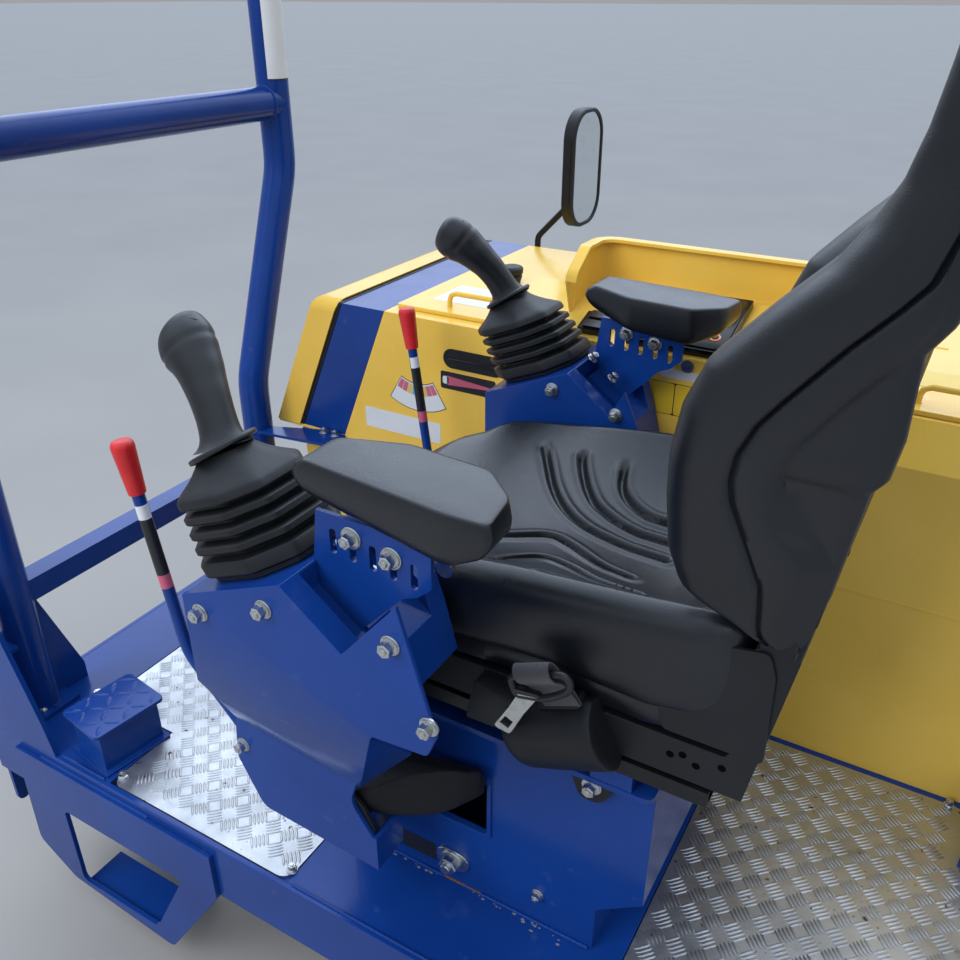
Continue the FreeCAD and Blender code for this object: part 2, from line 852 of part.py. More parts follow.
def mirror_head():
    z = deck + mirror_z
    y = hood_far - mirror_stand_off
    back = mirror_x - knuckle_r
    half_w = mirror_wide / 2
    half_h = mirror_high / 2
    oval = prism_yz(rectangle(y - half_w, y + half_w, z - half_h, z + half_h, mirror_round), back - mirror_thick, back)
    knuckles = []
    for rise in (-2 * knuckle_high + 2, knuckle_high):
        knuckles.append(cylinder((mirror_x, y, z + rise), (mirror_x, y, z + rise + knuckle_high), knuckle_r))
        knuckles.append(box(back - 4, mirror_x, y - 9, y + 9, z + rise, z + rise + knuckle_high))
    bore = cylinder((mirror_x, y, z - 60), (mirror_x, y, z + 60), mirror_pin + pin_clear)
    return fuse([oval] + knuckles).cut(bore)


parts["mirror_arm"] = mirror_arm()
parts["mirror_head"] = mirror_head()


# Pedestal, rails and seat
def pedestal():
    y = pedestal_half
    t = pedestal_wall
    front = pedestal_front
    back = pedestal_back
    top = pedestal_top
    knee = top - 55

    def side(inset, floor):
        return lift([(front - inset, floor), (front - inset, knee), (table_front - inset, top - inset),
                     (table_back + inset, top - inset), (table_back + inset, overhang_high + inset / 2),
                     (back + inset, overhang_low + inset / 2), (back + inset, floor)], deck)

    x0, x1, z0, z1 = window
    rim = window_rim
    corner = 8.0
    hole = [(x1, z1, corner), (x0, z1, corner), (x0, z0, corner), (x1, z0, corner)]
    frame = [(x1 + rim, z1 + rim, corner), (x0 - rim, z1 + rim, corner), (x0 - rim, z0 - rim, corner),
             (x1 + rim, z0 - rim, corner)]
    body = prism_xz(side(0, 0), -y, y).cut(prism_xz(side(t, -1), -y + t, y - t))
    rims = [prism_xz(lift(frame, deck), s * y, s * (y + 4)) for s in (-1, 1)]
    return fuse([body] + rims).cut(prism_xz(lift(hole, deck), -y - 9, y + 9))


def seat_table():
    z0 = deck + pedestal_top
    z1 = z0 + table_thick
    top = prism_xy(rectangle(table_back, table_front, -table_half, table_half, 10), z0, z1)
    reach = table_half - 1
    bars = [box(x, x + riser_long, -reach, reach, z1, z1 + riser_high) for x in riser_places]
    return fuse([top] + bars)


def lower_rails():
    half = rail_wide / 2
    w = rail_wall
    outer = box(rail_back, rail_front, rail_y - half, rail_y + half, rail_z, rail_z + rail_high)
    slot = box(rail_back - 1, rail_front + 1, rail_y - half + w, rail_y + half - w, rail_z + w, rail_z + rail_high - w)
    mouth = box(rail_back - 1, rail_front + 1, rail_y - rail_mouth / 2, rail_y + rail_mouth / 2,
                rail_z + w, rail_z + rail_high + 1)
    return both(outer.cut(slot).cut(mouth))


def upper_rails():
    half = rail_wide / 2 - rail_wall - rail_clear
    neck_half = rail_mouth / 2 - rail_clear
    x0 = rail_back + slide_travel + 10
    x1 = rail_front - slide_travel - 10
    z0 = rail_z + rail_wall + rail_clear
    foot = box(x0, x1, rail_y - half, rail_y + half, z0, rail_z + rail_high - rail_wall - rail_clear)
    neck = box(x0, x1, rail_y - neck_half, rail_y + neck_half, z0, pan_z)
    return both(fuse([foot, neck]))


def seat_pan():
    top = pan_z + pan_deep
    t = pan_wall
    y = pan_half
    high = deck + recline_z - hinge_space
    side = [(pan_front, pan_z), (pan_back, pan_z), (pan_back - 30, high), (pan_back + 12, high),
            (cushion_back - 32, top + 30, 16), (cushion_back - 14, top), (pan_front, top)]
    outer = prism_xz(side, -y, y)
    room = box(pan_back + 20, pan_front - t, -y + t, y - t, pan_z + pan_flange, top - t)
    mouth = box(pan_back + 20, pan_front - 40, -rail_y + 28, rail_y - 28, pan_z - 1, top - t)
    body = outer.cut(room).cut(mouth)
    lugs = []
    x = recline_x
    z = deck + recline_z
    for s in (-1, 1):
        lugs.append(prism_xz([(x - lug_half, high - 10), (x + lug_half, high - 10), (x + lug_half, z + 14, 14),
                              (x - lug_half, z + 14, 14)], s * (y - lug_thick), s * y))
    hole = cylinder((x, -y - 5, z), (x, y + 5, z), hinge_pin + pin_clear)
    return fuse([body] + lugs).cut(hole)


def rear_line(z):
    """X of the backrest's rear face at a height over the deck."""
    return recline_x - shell_rear - back_lean * (z - recline_z)


def backrest_shell():
    low = recline_z + hinge_space
    t = shell_thick
    slab = prism_xz(lift([(rear_line(low), low), (rear_line(seat_top - 20), seat_top - 20, 20),
                          (rear_line(seat_top) + t + 14, seat_top, 10), (rear_line(low) + t, low)], deck),
                    -shell_half + 12, shell_half - 12)
    x = recline_x
    ears = []
    for s in (-1, 1):
        b = s * (pan_half - lug_thick - ear_gap)
        a = b - s * lug_thick
        ears.append(prism_xz(lift([(x - 26, low + 30), (x - 14, recline_z - 10, 8), (x + 12, recline_z - 10, 8),
                                   (x + 12, low + 30)], deck), a, b))
        ears.append(cylinder((x, a, deck + recline_z), (x, s * pan_half, deck + recline_z), hinge_pin))
    return fuse([slab] + ears)


def backrest_cushion():
    low = recline_z + hinge_space + 6
    t = shell_thick

    def front(z, depth):
        return rear_line(z) + t + depth

    half = shell_half - 16
    slab = prism_xz(lift([(front(low, 0), low), (front(seat_top, 0) + 2, seat_top - 16), (front(1060, 36), 1090, 20),
                          (front(850, 46), 850), (front(low, 50), low, 16)], deck), -half, half)
    wing = lift([(front(low, 0), low), (-262, 612, 22), (-234, 749, 60), (-268, 850, 60), (-361, 945, 40),
                 (front(1060, 30), 1060, 20), (front(1100, 0), 1100)], deck)
    left = prism_xz(wing, bolster_in, bolster_out)
    return fuse([slab, left, mirrored(left)])


def seat_cushion():
    """Dished middle between side bolsters that rise towards the backrest."""
    low = pan_z + pan_deep
    top = deck + cushion_top
    half = cushion_half
    crown = deck + cushion_edge[2][1] + 20
    section = prism_yz([(-half, low), (half, low), (half, crown), (half - 20, crown), (half - 92, top),
                        (92 - half, top), (20 - half, crown), (-half, crown)], cushion_back, cushion_front)
    side = prism_xz([(cushion_back, low), (cushion_front, low, 24)] + lift(cushion_edge, deck), -half, half)
    return section.common(side)


parts["pedestal"] = pedestal()
parts["seat_table"] = seat_table()
parts["lower_rails"] = lower_rails()
parts["upper_rails"] = upper_rails()
parts["seat_pan"] = seat_pan()
parts["seat_cushion"] = seat_cushion().cut(parts["seat_pan"])
parts["backrest_shell"] = backrest_shell()
parts["backrest_cushion"] = backrest_cushion().cut(parts["backrest_shell"])


# Belt
def belt_retractor():
    y = retractor_y
    body = prism_xz(lift([(-80, 344, 14), (-214, 344, 14), (-226, 390, 20), (-200, 432, 20), (-90, 432, 20),
                          (-70, 390, 20)], deck), y, y + retractor_wide)
    tab = box(-187, -157, table_half, table_half + 6, deck + 278, deck + 344)
    hook = box(-187, -157, table_half, y + 10, deck + 338, deck + 344)
    return fuse([body, tab, hook])


def belt_tongue():
    y = retractor_y + 20
    points = [(-124, 432, 3), (-152, 432, 3), (-154, 472, 8), (-122, 472, 8)]
    slot = [(-130, 456), (-146, 456), (-146, 464), (-130, 464)]
    return prism_xz(lift(points, deck), y, y + tongue_thick).cut(prism_xz(lift(slot, deck), y - 1, y + tongue_thick + 1))


def belt_buckle():
    z0 = deck + pedestal_top
    x0 = -142.0
    x1 = x0 + stalk_wide
    y1 = buckle_y - 3
    stalk = box(x0, x1, y1 - 4, y1, z0, deck + 440)
    foot = box(x0, x1, y1 - 4, -table_half, z0, z0 + 6)
    body = prism_xz(lift([(x1 + 6, 420, 6), (x0 - 6, 420, 6), (x0 - 8, 520, 6), (x1 + 8, 520, 6)], deck),
                    buckle_y - buckle_thick, buckle_y)
    return fuse([stalk, foot, body])


parts["belt_retractor"] = belt_retractor()
parts["belt_tongue"] = belt_tongue()
parts["belt_buckle"] = belt_buckle()


# Consoles
def tray_line(x, rise):
    """Point at an X on a line parallel to the tray's slope, raised over its sunk floor."""
    high, low = console_top[1:]
    slope = (high[1] - low[1]) / (high[0] - low[0])
    stretch = math.hypot(1, slope)
    return (x, low[1] + (x - low[0]) * slope + (rise - tray_deep) * stretch)


def console(wing, wing_y):
    """Folded box with a sunk tray behind the gaiter's plate, a wing on one cheek and a tapering underside."""
    upper = list(console_top) + [console_rear] + list(console_crease)
    body = prism_xz(lift(upper, deck), console_in, console_out)
    crest = console_top[1][0] - 2
    tail = console_crease[0][0]
    tray = prism_xz(lift([(crest, console_top[1][1] + 9), tray_line(crest, 0), tray_line(tail, 0),
                          (tail, console_top[2][1] + 9)], deck), console_in + tray_rim, console_out - tray_rim)
    cheek = prism_xz(lift([console_top[2]] + list(wing) + [console_crease[0], (crest, console_rear[1])], deck),
                     wing_y, wing_y + wing_thick)
    crease_rear, crease_front = console_crease

    def wire(points, y):
        corners = [V(p[0], y, p[1] + deck) for p in points]
        return Part.makePolygon(corners + corners[:1])

    outer = wire([crease_front, crease_rear, (-12, 470), (2, 500), (200, 500)], console_out)
    inner = wire([flange_foot[0], flange_foot[1], flange_foot[2], (0, 470), (240, 470)], arm_y + arm_thick / 2)
    return fuse([body.cut(tray), cheek, skin([outer, inner])])


def console_arm():
    y0 = arm_y - arm_thick / 2
    y1 = arm_y + arm_thick / 2
    plate = prism_xz(lift([(286, 266), (292, 198, 20), (256, 125, 20), (72, 115), (72, 170), (103, 215, 30),
                           (40, 408), (200, 430), (240, 330)], deck), y0, y1)
    flange = box(66, 72, y0 - arm_flange, y1, deck + 115, deck + 170)
    bracket = box(90, 190, pedestal_half, y0, deck + 130, deck + 180)
    return fuse([plate, flange, bracket])


def swivel_latch():
    y1 = arm_y - arm_thick / 2
    y0 = y1 - latch_thick
    hook = prism_xz(lift([(152, 224, 6), (112, 228, 14), (88, 208, 20), (73, 178), (72, 146), (82, 146), (84, 176),
                          (98, 200, 20), (116, 215, 8), (150, 211, 6)], deck), y0, y1)
    return hook


def hose_sleeve():
    """Soft cover of the hoses, from under the console into the pedestal's window."""
    low = [(78, 330), (8, 345), (8, 300), (78, 285)]
    rest = window[2] + 0.3
    end = [(46, 192), (-20, 192), (-20, rest), (46, rest)]
    wires = []
    for points, y in ((low, console_in + 4), (end, pedestal_half - 3)):
        corners = [V(p[0], y, p[1] + deck) for p in points]
        wires.append(Part.makePolygon(corners + corners[:1]))
    return skin(wires)


def armrest_plate():
    """Slotted upright plate with an ear behind and a flange lying in the console's tray."""
    y = rest_plate_y
    t = rest_plate_thick
    plate = prism_xz(lift([(76, pad_low), (84, 600), (70, 550), (41, 524), (-22, 592), (-40, 600, 8), (-56, 614, 6),
                           (-56, pad_low)], deck), y, y + t)
    for i in range(slot_count):
        x = slot_front - i * slot_pitch - slot_wide / 2
        top = deck + slot_top - i * slot_drop
        slot = prism_xz([(x, top - slot_high, 3.5), (x + slot_wide, top - slot_high, 3.5), (x + slot_wide, top, 3.5),
                         (x, top, 3.5)], y - 1, y + t + 1)
        plate = plate.cut(slot)
    flange = prism_xz(lift([tray_line(24, 0), tray_line(76, 0), tray_line(76, t), tray_line(24, t)], deck),
                      y - rest_flange_wide, y + 1)
    return fuse([plate, flange])


def armrest_pad():
    plan = prism_xy([(pad_front, pad_in + pad_toe, 14), (pad_front, pad_out - pad_toe, 14),
                     (pad_front - 60, pad_out, 30), (pad_back, pad_out, 26), (pad_back, pad_in, 26),
                     (pad_front - 60, pad_in, 30)], deck + pad_low, deck + pad_high)
    side = prism_xz(lift([(pad_front, pad_low + 14), (pad_front, pad_high - 20, 14), (pad_front - 80, pad_high, 40),
                          (pad_back, pad_high - 6, 14), (pad_back, pad_low + 12, 10), (pad_back + 30, pad_low),
                          (pad_front - 30, pad_low)], deck), pad_in - 1, pad_out + 1)
    return plan.common(side)


plate_rise = console_top[1][1] - console_top[0][1]
plate_run = console_top[0][0] - console_top[1][0]
plate_tilt = math.degrees(math.atan2(plate_rise, plate_run))
gaiter_z = deck + console_top[1][1] - (gaiter_x - console_top[1][0]) * plate_rise / plate_run


def on_console(shape):
    shape.rotate(V(0, 0, 0), V(0, 1, 0), plate_tilt)
    shape.translate(V(gaiter_x, gaiter_y, gaiter_z))
    return shape


gaiter_high = gaiter_base + gaiter_folds * gaiter_pitch + dome_high


def gaiter_axis(z):
    """Offset along X and Y of the gaiter's leaning axis at a height over the plate."""
    return gaiter_lean * z / gaiter_high, -gaiter_toe * z / gaiter_high


def octagon(half, z):
    c = half * 2 * gaiter_cut
    ax, ay = gaiter_axis(z)
    flat = [(-half, -half + c), (-half + c, -half), (half - c, -half), (half, -half + c),
            (half, half - c), (half - c, half), (-half + c, half), (-half, half - c)]
    points = [V(x + ax, y + ay, z) for x, y in flat]
    return Part.makePolygon(points + points[:1])


def gaiter():
    """Tall base, folds and a smooth dome on an axis that leans forward."""
    wires = [octagon(gaiter_half, 0), octagon(gaiter_half, gaiter_base)]
    for i in range(gaiter_folds + 1):
        half = gaiter_half - (i + 1) * gaiter_taper
        z = gaiter_base + i * gaiter_pitch
        wires += [octagon(half - gaiter_fold, z + 4), octagon(half, z + 8), octagon(half - 1, z + gaiter_pitch - 1)]
    z = gaiter_base + (gaiter_folds + 1) * gaiter_pitch
    wires += [octagon((dome_neck + half) / 2, (z + gaiter_high) / 2), octagon(dome_neck, gaiter_high)]
    return on_console(skin(wires))


def joystick():
    """Base flange, waisted grip and forward leaning head, by sections from the gaiter up."""
    ax, ay = gaiter_axis(gaiter_high)
    foot = on_console(Part.Vertex(ax, ay, gaiter_high)).Point
    up = (on_console(Part.Vertex(ax, ay, gaiter_high + 1)).Point - foot).normalize()
    flange = skin([ring(foot + up * s, up, V(0, 1, 0), 41, 35, 12) for s in (0, 5)])
    # Along X, across Y and up from the flange, then the lean, then half width and half depth.
    sections = ((1.5, -1, 3.5, plate_tilt, 28, 26), (7, -4, 14, 28, 22, 20), (27, -15, 48, 36, 21.5, 19.5),
                (43, -24, 66, 42, 23, 21), (62, -34, 83, 48, 25.5, 22.5), (79, -42, 98, 52, 25.5, 21),
                (88, -46, 106, 55, 19, 14))
    wires = []
    for dx, dy, dz, lean, wide, deep in sections:
        angle = math.radians(lean)
        along = V(math.sin(angle), -0.35 * math.sin(angle), math.cos(angle))
        wires.append(ring(foot + V(dx, dy, dz), along, V(1, 0, -0.2), wide, deep, 10))
    return fuse([flange, skin(wires)])


lever_y = arm_y - arm_thick / 2 - lever_r - lever_gap


def lever():
    """Lever pivoted on the arm's inner face, cranked at its knee."""
    top_y = lever_y + lever_toe
    bar = rod([(lever_foot[0], lever_y, deck + lever_foot[1]), (lever_knee[0], lever_y + lever_toe / 2, deck + lever_knee[1]),
               (lever_top[0], top_y, deck + lever_top[1])], lever_r, lever_bend, 10)
    x, z = lever_foot
    ends = [V(x, y, deck + z) for y in (arm_y - arm_thick / 2, lever_y - lever_r)]
    boss = skin([ring(end, V(0, 1, 0), V(1, 0, 0), boss_r, boss_r, 10) for end in ends])
    return fuse([bar, boss])


def lever_grip():
    low = V(lever_top[0], lever_y + lever_toe, deck + lever_top[1])
    along = (low - V(lever_knee[0], lever_y + lever_toe / 2, deck + lever_knee[1])).normalize()
    wires = [ring(low + along * s, along, V(0, 1, 0), r, r, 10)
             for s, r in ((0, grip_r - 2), (grip_long - 6, grip_r), (grip_long, grip_r - 4))]
    return skin(wires)


left_console = console(left_wing, console_out - wing_thick)
right_console = console(right_wing, console_in)
parts["consoles"] = group([left_console, mirrored(right_console)])
parts["console_arms"] = both(console_arm().cut(left_console))
parts["swivel_latch"] = swivel_latch()
parts["hose_sleeve"] = hose_sleeve().cut(left_console)
parts["armrest_plates"] = both(armrest_plate().cut(left_console).cut(right_console))
parts["armrest_pads"] = both(armrest_pad())
parts["joysticks"] = both(joystick())
parts["gaiters"] = both(gaiter().cut(left_console))
parts["levers"] = both(lever())
parts["lever_grips"] = both(lever_grip())

os.makedirs("parts", exist_ok=True)
for name, shape in parts.items():
    shape.exportStep("parts/" + name + ".step")
    print(name, round(shape.Volume / 1e6, 3), len(shape.Solids), shape.isValid())
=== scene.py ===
import math
import random

import bmesh
import bpy
from mathutils import Matrix, Vector


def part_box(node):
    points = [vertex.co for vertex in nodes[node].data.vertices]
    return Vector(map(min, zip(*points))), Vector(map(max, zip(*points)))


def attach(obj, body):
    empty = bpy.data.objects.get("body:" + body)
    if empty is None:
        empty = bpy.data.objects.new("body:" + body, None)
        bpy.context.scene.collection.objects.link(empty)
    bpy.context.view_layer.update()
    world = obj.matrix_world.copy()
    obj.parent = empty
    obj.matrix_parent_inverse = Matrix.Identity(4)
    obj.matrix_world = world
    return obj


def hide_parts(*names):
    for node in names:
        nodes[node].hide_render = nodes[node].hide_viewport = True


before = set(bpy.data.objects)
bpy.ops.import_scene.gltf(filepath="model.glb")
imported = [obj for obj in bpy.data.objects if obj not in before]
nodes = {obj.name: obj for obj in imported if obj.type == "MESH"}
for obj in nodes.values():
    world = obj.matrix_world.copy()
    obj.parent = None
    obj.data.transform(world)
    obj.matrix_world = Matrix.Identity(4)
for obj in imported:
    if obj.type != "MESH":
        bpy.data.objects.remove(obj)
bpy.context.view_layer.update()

MM = 0.001
DECK = 120.0  # height of the deck over the frame's origin
WALL = -405.0  # the hood's side, along Y
X, Y, Z = Vector((1, 0, 0)), Vector((0, 1, 0)), Vector((0, 0, 1))
SENSOR, FOCAL_PIXELS, PICTURE_PIXELS = 36.0, 915, 960


def at(x, y, z):
    """Point in metres from millimetres, with the height counted from the deck."""
    return Vector((x, y, z + DECK)) * MM


# Camera, lamps and sky
def put(name, data, place, way):
    """New object that looks along a direction."""
    thing = bpy.data.objects.new(name, data)
    bpy.context.scene.collection.objects.link(thing)
    thing.location = place
    thing.rotation_mode = "QUATERNION"
    thing.rotation_quaternion = Vector(way).to_track_quat("-Z", "Y")
    return thing


camera = put("camera", bpy.data.cameras.new("camera"), at(-445.5, 924.0, 1100.0), (0.445, -0.7625, -0.4698))
camera.data.sensor_width = SENSOR
camera.data.lens = SENSOR * FOCAL_PIXELS / PICTURE_PIXELS
camera.data.clip_start = 0.02
bpy.context.scene.camera = camera
bpy.context.scene.view_settings.view_transform = "Standard"


def area_lamp(name, place, aim, size, power, color):
    data = bpy.data.lights.new(name, "AREA")
    data.shape = "RECTANGLE"
    data.size, data.size_y = size
    data.energy = power
    data.color = color
    put(name, data, place, Vector(aim) - Vector(place)).visible_glossy = False


area_lamp("key_lamp", (1.6, -2.6, 4.2), (0, -0.2, 0.5), (4.0, 3.0), 25, (0.93, 0.97, 1.0))
area_lamp("fill_lamp", (1.5, 3.4, 2.8), (0.1, 0, 0.6), (3.0, 3.0), 150, (0.98, 0.98, 1.0))
area_lamp("rim_lamp", (-3.4, 1.0, 2.8), (0.2, -0.2, 0.6), (2.5, 2.5), 30, (1.0, 0.98, 0.95))


def add(tree, kind, out, *numbered, mode=None, **named):
    """New node; its inputs, by number or name, are plain values or other nodes' outputs."""
    node = tree.nodes.new("ShaderNode" + kind)
    if mode:
        setattr(node, *mode)
    for key, value in [*enumerate(numbered), *named.items()]:
        socket = node.inputs[key if isinstance(key, int) else key.replace("_", " ")]
        if isinstance(value, bpy.types.NodeSocket):
            tree.links.new(value, socket)
        else:
            socket.default_value = value
    return node.outputs[out]


def clouded_sky():
    """Grey at the horizon, pale blue above, with a bright patch of cloud behind the hood."""
    world = bpy.data.worlds.new("world")
    bpy.context.scene.world = world
    world.use_nodes = True
    tree = world.node_tree
    direction = add(tree, "TexCoord", "Generated")
    height = add(tree, "SeparateXYZ", "Z", direction)
    rise = add(tree, "MapRange", "Result", Value=height, From_Min=0.02, From_Max=0.85)
    sky = add(tree, "MixRGB", "Color", Fac=rise, Color1=(0.35, 0.36, 0.37, 1), Color2=(0.80, 0.94, 1.16, 1))
    towards_glow = add(tree, "VectorMath", "Value", direction, (0.45, -0.78, 0.44), mode=("operation", "DOT_PRODUCT"))
    near_glow = add(tree, "MapRange", "Result", Value=towards_glow, From_Min=0.35, From_Max=0.95)
    above = add(tree, "MapRange", "Result", Value=height, From_Min=0.08, From_Max=0.40)
    share = add(tree, "Math", "Value", near_glow, above, mode=("operation", "MULTIPLY"))
    glow = add(tree, "MixRGB", "Color", Fac=share, Color1=sky, Color2=(2.2, 2.55, 3.1, 1))
    background = tree.nodes["Background"]
    background.inputs["Strength"].default_value = 1.0
    tree.links.new(glow, background.inputs["Color"])


clouded_sky()
# Materials
class Shader:
    """Principled material under construction: colour, roughness and relief from procedural layers."""

    def __init__(self, name, color, rough, **plain):
        self.material = bpy.data.materials.new(name)
        self.material.use_nodes = True
        self.out = self.material.node_tree.nodes["Principled BSDF"]
        self.color, self.rough, self.normal = (*color, 1), rough, None
        for key, value in {"Base_Color": self.color, "Roughness": rough, **plain}.items():
            self.out.inputs[key.replace("_", " ")].default_value = value
        self.where = self.add("TexCoord", "Object")

    def add(self, kind, out, *numbered, **named):
        return add(self.material.node_tree, kind, out, *numbered, **named)

    def feed(self, key, value):
        self.material.node_tree.links.new(value, self.out.inputs[key])

    def noise(self, scale, detail=4.0, stretch=None):
        """Clouds; a stretch scales them by axis."""
        where = self.add("Mapping", "Vector", Vector=self.where, Scale=stretch) if stretch else self.where
        return self.add("TexNoise", "Fac", Scale=scale, Detail=detail, Vector=where)

    def ramp(self, value, low, high):
        """Value mapped from low..high to 0..1."""
        return self.add("MapRange", "Result", Value=value, From_Min=low, From_Max=high)

    def mix(self, value, color):
        """Lays a colour over what is there, as much as the value says."""
        self.color = self.add("MixRGB", "Color", Fac=value, Color1=self.color, Color2=(*color, 1))
        self.feed("Base Color", self.color)

    def roughen(self, value, spread):
        """Roughness varied round its plain value."""
        self.feed("Roughness", self.add("MapRange", "Result", Value=value, To_Min=max(0.02, self.rough - spread),
                                        To_Max=min(1.0, self.rough + spread)))

    def bump(self, value, distance):
        """Relief in metres, over what is there."""
        under = {} if self.normal is None else {"Normal": self.normal}
        self.normal = self.add("Bump", "Normal", Distance=distance, Strength=1.0, Height=value, **under)
        self.feed("Normal", self.normal)


def look(name, color, rough, tints, spread=None, relief=(), **plain):
    """Clouded material.

    tints are (scale, detail, from, to, colour), spread is (scale, detail, roughness up and down), and relief
    is (scale, detail, depth) with a stretch by axis at its end where it has one.
    """
    s = Shader(name, color, rough, **plain)
    for scale, detail, low, high, tint in tints:
        s.mix(s.ramp(s.noise(scale, detail), low, high), tint)
    if spread:
        s.roughen(s.noise(*spread[:2]), spread[2])
    for scale, detail, depth, *stretch in relief:
        s.bump(s.noise(scale, detail, *stretch), depth)
    return s.material


def painted(name, color, dark, dusty, rough):
    tints = ((5, 4, 0.35, 0.75, dark), (38, 8, 0.66, 0.9, dusty), (420, 2, 0.76, 0.80, dusty))
    return look(name, color, rough, tints, (16, 4, 0.12), [(240, 2, 0.00012)],
                Coat_Weight=0.08, Coat_Roughness=0.10, Specular_IOR_Level=0.26)


def grained(name, color, rough, pit, depth, light, gloss=0.45, **plain):
    s = Shader(name, color, rough, Specular_IOR_Level=gloss, **plain)
    s.mix(s.ramp(s.noise(7.0, 5.0), 0.45, 0.85), light)
    s.roughen(s.noise(24.0), 0.08)
    s.bump(s.add("TexVoronoi", "Distance", Scale=pit, Vector=s.where), depth)
    s.bump(s.noise(60.0, 3.0), 0.00025)
    return s.material


def woven(name, color, rough, width, low, light, fine, depth, **plain):
    """Cloth of threads crossed along X and Z."""
    s = Shader(name, color, rough, **plain)
    waves = [s.add("TexWave", "Fac", mode=("bands_direction", axis), Scale=0.314 / width, Vector=s.where)
             for axis in "XZ"]
    threads = s.add("Math", "Value", *waves, mode=("operation", "MAXIMUM"))
    s.mix(s.ramp(threads, low, 0.9), light)
    s.roughen(s.noise(fine), 0.08)
    s.bump(threads, depth)
    return s


def faded(color, share):
    return tuple(v * share for v in color)


def sticker(name, color, rough=0.35, second=None):
    return look(name, color, rough, [(14, 5, 0.5, 0.9, second or faded(color, 0.82))], (50, 4, 0.08),
                [(300, 2, 0.00004)])


def lit(name, color, power):
    return look(name, color, 0.15, [(80, 4, 0.4, 0.8, faded(color, 0.75))], (60, 4, 0.05),
                Emission_Strength=power, Emission_Color=(*color, 1))


blue = painted("blue_paint", (0.0050, 0.039, 0.215), (0.0035, 0.028, 0.165), (0.04, 0.075, 0.20), 0.2)
yellow = painted("yellow_paint", (0.79, 0.51, 0.085), (0.71, 0.44, 0.060), (0.76, 0.58, 0.27), 0.24)
vinyl = grained("seat_vinyl", (0.0045, 0.0055, 0.0075), 0.30, 900, 0.00014, (0.008, 0.0095, 0.012), 0.58)
shell = grained("shell_plastic", (0.0045, 0.0052, 0.0065), 0.50, 1300, 0.00015, (0.009, 0.010, 0.012))
rubber = grained("gaiter_rubber", (0.0048, 0.0055, 0.0065), 0.50, 700, 0.0001, (0.011, 0.012, 0.014))
stick_plastic = grained("stick_plastic", (0.0060, 0.0068, 0.0080), 0.36, 1500, 0.00008, (0.010, 0.011, 0.013), 0.6)
satin = grained("black_steel", (0.0055, 0.0060, 0.0070), 0.36, 420, 0.00006, (0.014, 0.015, 0.017), Metallic=0.2)
# Near-black material for the trim's holes: painted shade standing in for the dark inside of each hole.
painted_hole_shade = grained("painted_hole_shade", (0.001, 0.001, 0.0012), 0.85, 900, 0.0001, (0.002, 0.002, 0.002), 0.05)
gloss_black = grained("display_plastic", (0.0050, 0.0055, 0.0065), 0.22, 1800, 0.00003, (0.01, 0.01, 0.012))
red = look("red_plastic", (0.56, 0.020, 0.022), 0.36, [(22, 4, 0.4, 0.8, (0.42, 0.012, 0.014))], (40, 4, 0.1),
           [(500, 2, 0.00008)])
tread = look("tread_sheet", (0.54, 0.55, 0.56), 0.38,
             [(9, 8, 0.42, 0.75, (0.36, 0.37, 0.38)), (75, 6, 0.66, 0.71, (0.10, 0.085, 0.07)),
              (320, 3, 0.70, 0.74, (0.07, 0.06, 0.05))], (60, 6, 0.18), [(300, 4, 0.00012, (1, 6, 1))], Metallic=0.92)
zinc = look("zinc_steel", (0.62, 0.63, 0.62), 0.30, [(90, 4, 0.5, 0.8, (0.45, 0.46, 0.42))], (160, 4, 0.12),
            [(700, 2, 0.00005)], Metallic=1.0)
rust = look("rusty_seam", (0.11, 0.055, 0.032), 0.7, [(60, 6, 0.4, 0.7, (0.02, 0.04, 0.13))],
            relief=[(250, 5, 0.0003)])
iron = look("engine_iron", (0.06, 0.06, 0.062), 0.6, [(30, 8, 0.5, 0.8, (0.10, 0.07, 0.05))],
            relief=[(180, 6, 0.0006)], Metallic=0.5)
glass = look("mirror_glass", (0.82, 0.85, 0.86), 0.03, [(30, 6, 0.6, 0.9, (0.6, 0.62, 0.62))], (25, 6, 0.02),
             Metallic=1.0)
webbing = woven("belt_webbing", (0.016, 0.016, 0.018), 0.62, 0.0016, 0.2, (0.035, 0.035, 0.04), 200, 0.0003,
                Sheen_Weight=0.25).material
cover = woven("sleeve_fabric", (0.0045, 0.0047, 0.0055), 0.72, 0.0022, 0.3, (0.010, 0.010, 0.012), 120, 0.0002,
              Specular_IOR_Level=0.3)
cover.bump(cover.noise(45.0), 0.001)
sleeve = cover.material
chipped = sticker("chipped_paint", (0.20, 0.19, 0.19), 0.6, (0.07, 0.045, 0.04))
white_label = sticker("white_label", (0.62, 0.64, 0.66))
yellow_label = sticker("yellow_label", (0.66, 0.45, 0.03))
black_label = sticker("black_label", (0.014, 0.014, 0.015))
pink_label = sticker("pink_label", (0.50, 0.10, 0.16))
pane = lit("screen_pane", (0.62, 0.68, 0.66), 0.55)
amber = lit("amber_light", (0.80, 0.22, 0.05), 0.5)
slots = {blue: "blue_paint", yellow: "yellow_paint", vinyl: "seat_vinyl", shell: "shell_plastic",
         rubber: "gaiter_rubber", stick_plastic: "stick_plastic", gloss_black: "display_plastic",
         red: "red_plastic", tread: "tread_sheet", zinc: "zinc_steel", sleeve: "sleeve_fabric"}
